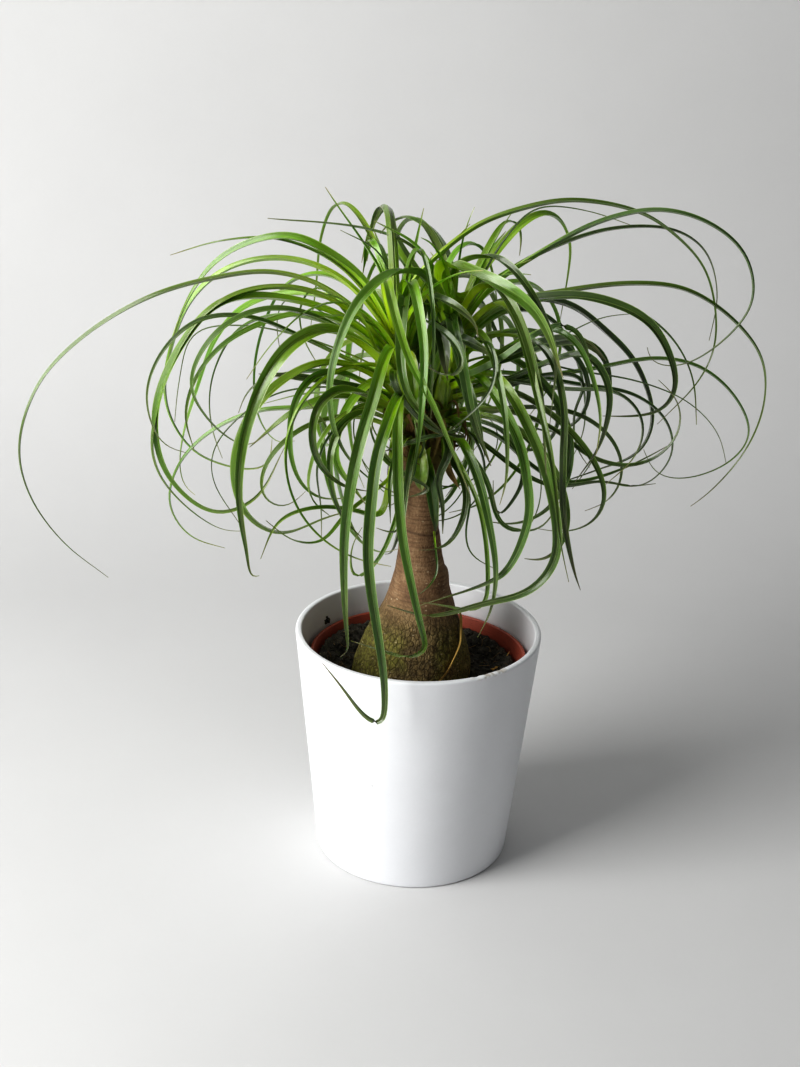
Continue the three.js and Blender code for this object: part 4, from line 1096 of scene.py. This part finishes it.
def ring_scars(z, turn):
    """How dark the ring scars are at one place, and how far their ledges stand out."""
    scar = ledge = 0.0
    for k, strength in enumerate(SCARS):
        level = 196 + k * 3.5 + 2.2 * SCARS[-1 - k]
        if abs(z - level) > 4:
            continue
        x, y = math.cos(turn), math.sin(turn)
        level += 1.1 * noise.noise(Vector((x * 1.4, y * 1.4, k * 3.7)))
        here = min(2 * max(0.0, noise.noise(Vector((x * 2.2, y * 2.2, k * 1.9))) + 0.35), 1)
        scar = max(scar, math.exp(-((z - level) / 0.42) ** 2) * strength * here)
        ledge += (1 if z < level else -1) * math.exp(-abs(z - level) / 1.3) * 0.16 * strength * here
    return scar, ledge


def bark_shape(place):
    """Push along the normal, and the fissure, scar, moss and height marks, at one place."""
    x, y, z = place
    turn = math.atan2(y, x)
    here = Vector(place)
    warp = noise.noise_vector(here / 11.0) * 2.2
    cell = noise.voronoi((Vector((x, y, z * 0.58)) + warp) / 4.6)[0]
    fine = noise.voronoi((Vector((x, y, z * 0.66)) + warp * 0.6) / 2.6)[0]
    low = 1 - ease(192, 222, z + 6 * noise.noise(here / 20))
    out_of_soil = ease(146, 152, z)
    crack = (1 - ease(0.02, 0.20, cell[1] - cell[0])) * low * ease(-0.35, 0.1, noise.noise(here / 6.0))
    hair = (1 - ease(0.02, 0.22, fine[1] - fine[0])) * low
    up = ease(190, 225, z)
    scar, ledge = ring_scars(z, turn)
    node = math.exp(-((z - 270 - 1.2 * math.sin(turn * 2)) / 1.0) ** 2)
    scar = max(scar * up, 0.85 * node)
    lumps = noise.noise(Vector((x, y, z * 0.7)) / 17) * 1.2 + noise.noise(here / 7.5) * 0.5
    shoulder = ease(-0.2, 0.9, math.cos(turn)) * ease(222, 234, z) * (1 - ease(236, 240, z))
    push = out_of_soil * (lumps * mix(0.9, 0.35, up) - 0.6 * crack - 0.22 * hair + ledge * up - 0.3 * node
                          + 1.5 * shoulder)
    blotch = noise.noise(here / 13.0 + Vector((7, 3, 1)))
    left = ease(0.35, 0.95, math.cos(turn - math.radians(200)) + 0.5 * blotch)
    front = ease(0.45, 0.95, math.cos(turn - math.radians(-28)) + 0.5 * blotch) * 0.85
    moss = max(left, front) * (1 - ease(184, 205, z)) * out_of_soil
    moss = max(moss, 0.75 * ease(317, 326, z + 4 * blotch) * (x > -1))
    return push, (max(crack, 0.5 * hair) * out_of_soil, scar, moss, up)


def join_all(pieces):
    """One closed mesh from overlapping closed pieces."""
    main, *others = pieces
    for other in others:
        joint = main.modifiers.new("join", "BOOLEAN")
        joint.operation, joint.solver, joint.object = "UNION", "EXACT", other
    graph = bpy.context.evaluated_depsgraph_get()
    fused = bpy.data.meshes.new_from_object(main.evaluated_get(graph))
    main.modifiers.clear()
    main.data = fused
    for other in others:
        bpy.data.objects.remove(other)
    return main


def stem_piece(name, material):
    """The swollen stem and its fork as one mesh, with the bark's relief."""
    parts = [new_piece(name, *stem_grid(), material)]
    for head in HEADS.values():
        foot = head["foot"]
        path = curve_through([(-1, 0, 306), (foot[0] * 0.75, foot[1] * 0.7, 322), foot], 1.0)
        radii = np.interp(np.linspace(0, 1, len(path)), [0, 0.5, 1], [11.3, 9.5, CORE_RADII[0] + 0.4])
        parts.append(new_piece("limb", *tube(path, radii, 56), material))
    stem = join_all(parts)
    mesh = stem.data
    marks, spots = [], []
    noise.seed_set(BARK_SEED)
    for vertex in mesh.vertices:
        push, mark = bark_shape(vertex.co / MM)
        spots.append(vertex.co + vertex.normal * push * MM)
        marks.append(mark)
    mesh.vertices.foreach_set("co", np.array(spots, np.float32).ravel())
    mark_points(mesh, "bark", marks)
    mesh.shade_smooth()
    mesh.update()
    return stem


# ---- Heads ------------------------------------------------------------------------------

CORE_SIDES = 20
SHEATHS, TORN_ENDS = 34, 12     # dead leaf bases and torn strips on each head


def head_core(bundle, head):
    """The stack of leaf feet round the growing tip."""
    foot, tip = np.array(head["foot"], float), np.array(head["tip"], float)
    path = curve_through([foot + [0, 0, 0.3], (foot + tip) / 2, tip], 3)
    radii = np.interp(np.linspace(0, 1, len(path)), [0, 0.5, 0.93, 1], [*CORE_RADII, 2.0])
    points, faces = tube(path, radii, CORE_SIDES)
    marks = np.zeros((len(points), 4))
    marks[:, 0] = 0.14
    marks[:, 1] = np.tile(np.linspace(0, 4, CORE_SIDES) % 1, len(path))
    marks[:, 3] = 1.0
    bundle.add(points, faces, marks)


def fill_rows(head, chance):
    """Large leaves that fill the head out where none is placed singly."""
    count, first, last = head["fill"]
    rows = []
    for i in range(count):
        age = chance()
        azimuth = mix(first, last, (i * 0.618) % 1) + 6 * (chance() - 0.5)
        height = mix(head["tip"][2] - 8, head["foot"][2] + 12, age)
        rise = mix(84, 28, age) + 10 * (chance() - 0.5)
        length = mix(*FILL_LENGTH, chance())
        width = mix(*FILL_WIDTH, chance())
        droop = mix(215, 265, i / (count - 1))
        rows.append((azimuth, width, 20, mix(0.25, 0.85, age), bowed_route(rise, length, droop, height)))
    return rows


def young_rows(head, chance):
    """Short new leaves that stand up round the growing tip."""
    rows = []
    for _ in range(YOUNG_LEAVES):
        rise = chance(66, 88)
        length = chance(60, 130)
        rows.append((chance(0, 360), chance(4, 7), 10, chance(0, 0.2),
                     bowed_route(rise, length, chance(20, 90), head["tip"][2] - chance(4, 22), 5, start=2)))
    return rows


def curled_rows(head, chance):
    """Old lower leaves, shorter, that roll right over in loops."""
    count, *fan = head["curled"]
    rows = []
    for _ in range(count):
        height = mix(head["foot"][2] + 10, head["tip"][2] - 14, chance())
        rise = chance(0, 65)
        length = chance(150, 290)
        droop = chance(170, 380)
        rows.append((mix(*fan, chance()), chance(5.5, 10), chance(-50, 70),
                     mix(*head["curled_tones"], chance()),
                     bowed_route(rise, length, droop, height, chance(-75, 75), 11, start=5,
                                 bend=chance(0.8, 2.3))))
    return rows


def wisp_rows(head, chance):
    """Thread-thin dry tips and weak leaves that hang and curl under the head."""
    rows = []
    for _ in range(head["wisps"]):
        height = mix(head["foot"][2] + 4, head["tip"][2] - 30, chance())
        rows.append((chance(150, 390), chance(1.2, 3.2), 0, chance(0.3, 1.0),
                     bowed_route(chance(-30, 45), chance(90, 190), chance(120, 420), height,
                                 chance(-40, 40), 11, start=5), 2.4))
    return rows


def head_piece(name, head, fills, material):
    """All the leaves of one head in one mesh."""
    bundle = Bundle()
    chance = Chance(head["seed"])
    head_core(bundle, head)
    rows = head["rows"] + fills
    for rule in (young_rows, curled_rows, wisp_rows):
        rows = rows + rule(head, chance)
    for row in rows:
        leaf(bundle, head, kept_within(head, row), chance)
    return bundle.piece(name, material, BLADE_SHARP)


def dry_blade(bundle, stations, spacing, across, width, twist, tone, taper, chance, fold, root=1.1):
    blade(bundle, curve_through(stations, spacing), across, width, twist, tone, taper, chance,
          thick=0.35, fold=fold, root=root)


def sheaths_piece(name, material):
    """Dead leaf bases, torn and papery, wrapped round the foot of each head."""
    bundle = Bundle()
    chance = Chance(77)
    for head in HEADS.values():
        for i in range(SHEATHS):
            out = heading(TURN * i * 0.382 + chance(-0.2, 0.2))
            level = mix(-14, 22, (i + chance()) / SHEATHS)
            base = head["foot"] + np.array([0, 0, level]) + out * (CORE_RADII[0] + 0.2)
            length = chance(9, 22)
            lean = math.radians(chance(38, 80))
            reach = out * length * math.cos(lean)
            dry_blade(bundle, [base, base + reach * 0.4 + [0, 0, length * 0.55],
                               base + reach + [0, 0, length * math.sin(lean)]], 1.4, beside(out),
                      chance(7, 12), 0, chance() ** 3 * 0.9, chance(2.0, 4.0), chance, (38, 20, 10))
    for width, stations in DEAD_LEAVES:
        dry_blade(bundle, stations, 1.4, np.array([1.0, 0.1, 0]), width, 30, 0.1, 3.0, chance, (38, 30, 30))
    for head in HEADS.values():
        for _ in range(TORN_ENDS):
            out = heading(math.radians(chance(-160, 20)))
            aside = beside(out) * chance(-14, 14)
            base = head["foot"] + out * CORE_RADII[0] + [0, 0, chance(0, 34)]
            length = chance(10, 26)
            dry_blade(bundle, [base, base + out * length * 0.5 + [0, 0, chance(2, 9)],
                               base + out * length * 0.8 + aside * 0.6 + [0, 0, chance(-12, 4)],
                               base + out * length * 0.6 + aside + [0, 0, chance(-26, -6)]], 1.4, beside(out),
                      chance(1.2, 2.6), 60, chance(0, 0.25), 3.0, chance, DRY_FOLD, root=1.2)
    return bundle.piece(name, material, BLADE_SHARP)


# ---- Scraps -----------------------------------------------------------------------------

# The straw's route from the soil to the red rim: x, y and height over the soil.
STRAW_ROUTE = ((58, 4, 1.4), (67, 14, 4), (73, 23, 9))


def shed_leaf(bundle, chance):
    """A dry leaf that lies down the right front of the swelling, just off its bark."""
    stations = []
    for k in range(10):
        height = mix(206, 160, k / 9)
        centre, radius = stem_at(height)
        reach = radius + 2.4 + 0.5 * math.sin(k * 1.9)
        stations.append([centre, 0, height] + reach * heading(math.radians(mix(-4, -68, k / 9))))
    path = curve_through(stations, 1.2)
    outward = path - np.column_stack([stem_at(path[:, 2])[0], np.zeros(len(path)), path[:, 2]])
    across = np.cross(outward.mean(axis=0), slopes_of(path).mean(axis=0))
    blade(bundle, path, across / np.linalg.norm(across), 4.0, -30, 0.0, 5.0, chance, thick=0.35,
          fold=(20, 30, 10), root=0.7)


def straw(bundle, chance):
    """Two dry stalks side by side, slightly bent."""
    route = [(x, y, soil_height(x, y) + lift) for x, y, lift in STRAW_ROUTE]
    path = curve_through(route, 1.0)
    for shift, reach in ((0.0, 1.0), (1.1, 0.7)):
        part = path[: max(6, int(len(path) * reach))] + [shift, -shift, shift * 0.5]
        bend = 0.35 * np.sin(np.linspace(0, 9, len(part)))[:, None] * [0.5, -0.5, 1.0]
        bundle.add(*tube(part + bend, np.linspace(0.75, 0.4, len(part)), 7), (0.5, 0.5, chance(), 0.0))


# ---- Settings ---------------------------------------------------------------------------

def size_setting(name, description, default):
    return bpy.props.FloatProperty(name=name, description=description, default=default * MM, min=0.0,
                                   subtype="DISTANCE", unit="LENGTH")


def color_setting(name, description, default):
    return bpy.props.FloatVectorProperty(name=name, description=description, default=default, size=3,
                                         min=0.0, max=1.0, subtype="COLOR")


class PotSettings(bpy.types.PropertyGroup):
    height: size_setting("Cover Height", "Height of the cover pot", COVER_SIZE[2] / MM)
    rim: size_setting("Rim Radius", "Outer radius of the cover pot at its rim", COVER_SIZE[0] / MM)
    base: size_setting("Base Radius", "Outer radius of the cover pot at its foot", 76)
    wall: size_setting("Wall", "Thickness of the cover pot's wall", 5)
    floor: size_setting("Floor", "Thickness of the cover pot's floor", 6)
    glaze: color_setting("Glaze", "Color of the cover pot", (0.80, 0.81, 0.83))
    plastic: color_setting("Plastic", "Color of the nursery pot", (0.50, 0.125, 0.078))


class LeafSettings(bpy.types.PropertyGroup):
    young: color_setting("Young Leaf", "Color near the foot of a fresh leaf", (0.66, 0.90, 0.010))
    grown: color_setting("Grown Leaf", "Color along a fresh leaf", (0.25, 0.49, 0.016))
    aged: color_setting("Aged Leaf", "Color of the old lower leaves", (0.060, 0.116, 0.010))
    dead: color_setting("Dead Base", "Color of the dead leaf bases", (0.42, 0.27, 0.12))
    # The straw colour is set pale, which also paints light onto the shed leaf where it lies in the stem's
    # shade.
    straw: color_setting("Straw", "Color of the shed leaf and the straw", (0.92, 0.70, 0.24))
    root: color_setting("Root", "Color of the dry roots in the soil", (0.60, 0.42, 0.19))


class StageSettings(bpy.types.PropertyGroup):
    paper: color_setting("Paper", "Color of the paper sweep", (0.68, 0.68, 0.677))
    key_power: bpy.props.FloatProperty(name="Key Power", description="Power of the soft window light",
                                       default=34.0, min=0.0, unit="POWER")
    sky: bpy.props.FloatProperty(name="Sky", description="Strength of the even light all round",
                                 default=0.18, min=0.0)


# ---- Stage ------------------------------------------------------------------------------

SWEEP_HALF = 2600                       # half the width, and the length and height, of the sweep
SWEEP_WALL, SWEEP_BEND = 970.0, 520     # how far back its wall stands, and the radius of its bend
BEHIND_FROM, BEHIND_TO = 300, 3400      # the floor that carries on behind the wall
FRAME_HEIGHT = 1067                     # the picture's height, which the lens is set by


def grid(rows):
    """Quads over rows of equal count."""
    count = len(rows[0])
    faces = [(r * count + c, r * count + c + 1, (r + 1) * count + c + 1, (r + 1) * count + c)
             for r in range(len(rows) - 1) for c in range(count - 1)]
    return [point for row in rows for point in row], faces


def add_soft_light(name, place, target, size, power, color):
    data = bpy.data.lights.new(name, "AREA")
    data.shape = "RECTANGLE"
    data.size, data.size_y = size
    data.energy = power
    data.color = color
    lamp = bpy.data.objects.new(name, data)
    lamp.location = place
    lamp.rotation_euler = (Vector(target) - Vector(place)).to_track_quat("-Z", "Y").to_euler()
    bpy.context.scene.collection.objects.link(lamp)


def add_sky(scene, strength):
    world = bpy.data.worlds.new("even_light")
    world.use_nodes = True
    sky = world.node_tree.nodes["Background"].inputs
    sky["Color"].default_value = (0.98, 0.99, 1.0, 1)
    sky["Strength"].default_value = strength
    scene.world = world


def add_camera(scene):
    """The viewpoint: a little above the plant, from its front, with a slight roll."""
    down, roll, reach = math.radians(22.1), math.radians(1.8), 1.286
    target = Vector((-0.0166, 0, 0.265))
    back = Vector((0, -math.cos(down), math.sin(down)))
    right, up = Vector((1, 0, 0)), Vector((0, math.sin(down), math.cos(down)))
    turned_right = math.cos(roll) * right + math.sin(roll) * up
    turned_up = -math.sin(roll) * right + math.cos(roll) * up
    data = bpy.data.cameras.new("camera")
    data.sensor_fit = "VERTICAL"
    data.sensor_height = 36
    data.lens = 36 * 1700 / FRAME_HEIGHT
    data.clip_start, data.clip_end = 0.01, 50
    camera = bpy.data.objects.new("camera", data)
    pose = Matrix((turned_right, turned_up, back)).transposed().to_4x4()
    pose.translation = target + back * reach
    camera.matrix_world = pose
    scene.collection.objects.link(camera)
    scene.camera = camera


# ---- Operators --------------------------------------------------------------------------

def place_piece(piece, slot, *nodes):
    """Puts a piece on the body and hides the nodes that it replaces; the slot of its finish is not used."""
    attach(piece, BODY)
    if nodes:
        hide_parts(*nodes)


class PALM_OT_pots(bpy.types.Operator):
    """Build the white cover pot and the red nursery pot inside it"""
    bl_idname = "palm.pots"
    bl_label = "Pots"

    def execute(self, context):
        pots = context.scene.palm_pots
        sizes = [size / MM for size in (pots.height, pots.rim, pots.base, pots.wall, pots.floor)]
        points, faces, wear = cover_pot(*sizes)
        glaze = glaze_finish(pots.glaze)
        cover = new_piece("cover_pot_glazed", points, faces, glaze, {"wear": wear}, sharp=60)
        place_piece(cover, "white_glaze", "cover_pot")
        shape = nursery_pot(sizes[-1] + NURSERY_GAP, **NURSERY)
        nursery = new_piece("nursery_pot_plastic", *shape, plastic_finish(pots.plastic), sharp=60)
        place_piece(nursery, "red_plastic", "nursery_pot")
        return {"FINISHED"}


class PALM_OT_soil(bpy.types.Operator):
    """Build the soil, its loose crumbs and the roots and straws in it"""
    bl_idname = "palm.soil"
    bl_label = "Soil"

    def execute(self, context):
        earth = soil_finish()
        place_piece(new_piece("soil_bed", *soil_bed(), earth), "potting_soil", "soil")
        loose, roots = Bundle(), Bundle()
        crumbs(loose, Chance(5))
        place_piece(loose.piece("soil_crumbs", earth, sharp=35), "potting_soil")
        rootlets(roots, Chance(19))
        dry = dry_finish("dry_root", context.scene.palm_leaves.root, (0.20, 0.12, 0.06))
        place_piece(roots.piece("soil_rootlets", dry), "dry_straw")
        return {"FINISHED"}


class PALM_OT_stem(bpy.types.Operator):
    """Build the swollen, forked stem and the dead leaf bases round its two tips"""
    bl_idname = "palm.stem"
    bl_label = "Stem"

    def execute(self, context):
        place_piece(stem_piece("stem_bark", bark_finish()), "bark", "trunk")
        dead = dry_finish("leaf_base", context.scene.palm_leaves.dead, (0.16, 0.09, 0.04))
        place_piece(sheaths_piece("dead_leaf_bases", dead), "dry_straw")
        return {"FINISHED"}


class PALM_OT_leaves(bpy.types.Operator):
    """Build the leaves of both heads, and the single ones on the fork"""
    bl_idname = "palm.leaves"
    bl_label = "Leaves"

    def execute(self, context):
        leaves = context.scene.palm_leaves
        green = leaf_finish(leaves.young, leaves.grown, leaves.aged)
        chance = Chance(20260)
        fills = [fill_rows(head, chance) for head in HEADS.values()]
        for (side, head), rows in zip(HEADS.items(), fills):
            place_piece(head_piece(side + "_head_leaves", head, rows, green), "leaf", side + "_head")
        single = Bundle()
        chance = Chance(31)
        for lean, width, tone, taper, stations in FORK_LEAVES:
            blade(single, curve_through(stations, 2.5), np.array([1, lean, 0]), width, 0, tone, taper, chance)
        place_piece(single.piece("stem_leaf", green, BLADE_SHARP), "leaf")
        return {"FINISHED"}


class PALM_OT_scraps(bpy.types.Operator):
    """Build the shed leaf on the stem and the straw in the soil"""
    bl_idname = "palm.scraps"
    bl_label = "Dry Scraps"

    def execute(self, context):
        # Pale straw colours: partly painted light on the shed leaf, which lies in the stem's shade.
        dry = dry_finish("dry_straw", context.scene.palm_leaves.straw, (0.52, 0.30, 0.08))
        chance = Chance(3)
        shed, stalk = Bundle(), Bundle()
        shed_leaf(shed, chance)
        place_piece(shed.piece("dry_leaf_scrap", dry, BLADE_SHARP), "dry_straw", "dry_leaf")
        straw(stalk, chance)
        place_piece(stalk.piece("dry_straw_stalk", dry), "dry_straw", "dry_straw")
        return {"FINISHED"}


class PALM_OT_stage(bpy.types.Operator):
    """Set the paper sweep, the soft light and the camera"""
    bl_idname = "palm.stage"
    bl_label = "Stage"

    def execute(self, context):
        stage, scene = context.scene.palm_stage, context.scene
        profile = [(-SWEEP_HALF, 0.0), (SWEEP_WALL - 530, 0.0), (SWEEP_WALL, 0.0), (SWEEP_WALL, 560.0),
                   (SWEEP_WALL, SWEEP_HALF)]
        wide = np.linspace(-SWEEP_HALF, SWEEP_HALF, 9)
        sweep = [[(x, y, z - 0.05) for x in wide] for y, z in rounded(profile, [0, 0, SWEEP_BEND, 0, 0], 24)]
        behind = [[(x, y, -0.4) for x in wide] for y in (BEHIND_FROM, BEHIND_TO)]
        paper = paper_finish(stage.paper)
        new_piece("paper_sweep", *grid(sweep), paper)
        new_piece("floor_behind", *grid(behind), paper)
        add_soft_light("window", (-1.36, -0.78, 0.98), (0, 0.1, 0.25), (1.05, 1.5), stage.key_power,
                       (1.0, 0.995, 0.985))
        add_soft_light("ceiling", (-0.5, -0.2, 2.2), (0, 0, 0.2), (1.6, 1.6), stage.key_power * 0.08,
                       (0.99, 0.995, 1.0))
        add_sky(scene, stage.sky)
        scene.view_settings.view_transform = "Standard"
        scene.view_settings.look = "High Contrast"
        scene.view_settings.exposure = 0.0
        add_camera(scene)
        return {"FINISHED"}


class PALM_PT_panel(bpy.types.Panel):
    """The palm's settings and the steps that build it"""
    bl_label = "Potted Ponytail Palm"
    bl_space_type = "VIEW_3D"
    bl_region_type = "UI"
    bl_category = "Palm"

    def draw(self, context):
        for name in SETTINGS:
            group = getattr(context.scene, name)
            box = self.layout.box()
            for label in group.bl_rna.properties.keys():
                if label not in ("rna_type", "name"):
                    box.prop(group, label)
        for step in STEPS:
            self.layout.operator(step.bl_idname)


SETTINGS = {"palm_pots": PotSettings, "palm_leaves": LeafSettings, "palm_stage": StageSettings}
STEPS = (PALM_OT_pots, PALM_OT_soil, PALM_OT_stem, PALM_OT_leaves, PALM_OT_scraps, PALM_OT_stage)
CLASSES = (*SETTINGS.values(), *STEPS, PALM_PT_panel)


def register():
    for kind in CLASSES:
        bpy.utils.register_class(kind)
    for name, kind in SETTINGS.items():
        setattr(bpy.types.Scene, name, bpy.props.PointerProperty(type=kind))


def unregister():
    for name in SETTINGS:
        delattr(bpy.types.Scene, name)
    for kind in reversed(CLASSES):
        bpy.utils.unregister_class(kind)


def main():
    register()
    bpy.ops.palm.pots()
    bpy.ops.palm.soil()
    bpy.ops.palm.stem()
    bpy.ops.palm.leaves()
    bpy.ops.palm.scraps()
    bpy.ops.palm.stage()
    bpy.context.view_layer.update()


if __name__ == "__main__":
    main()
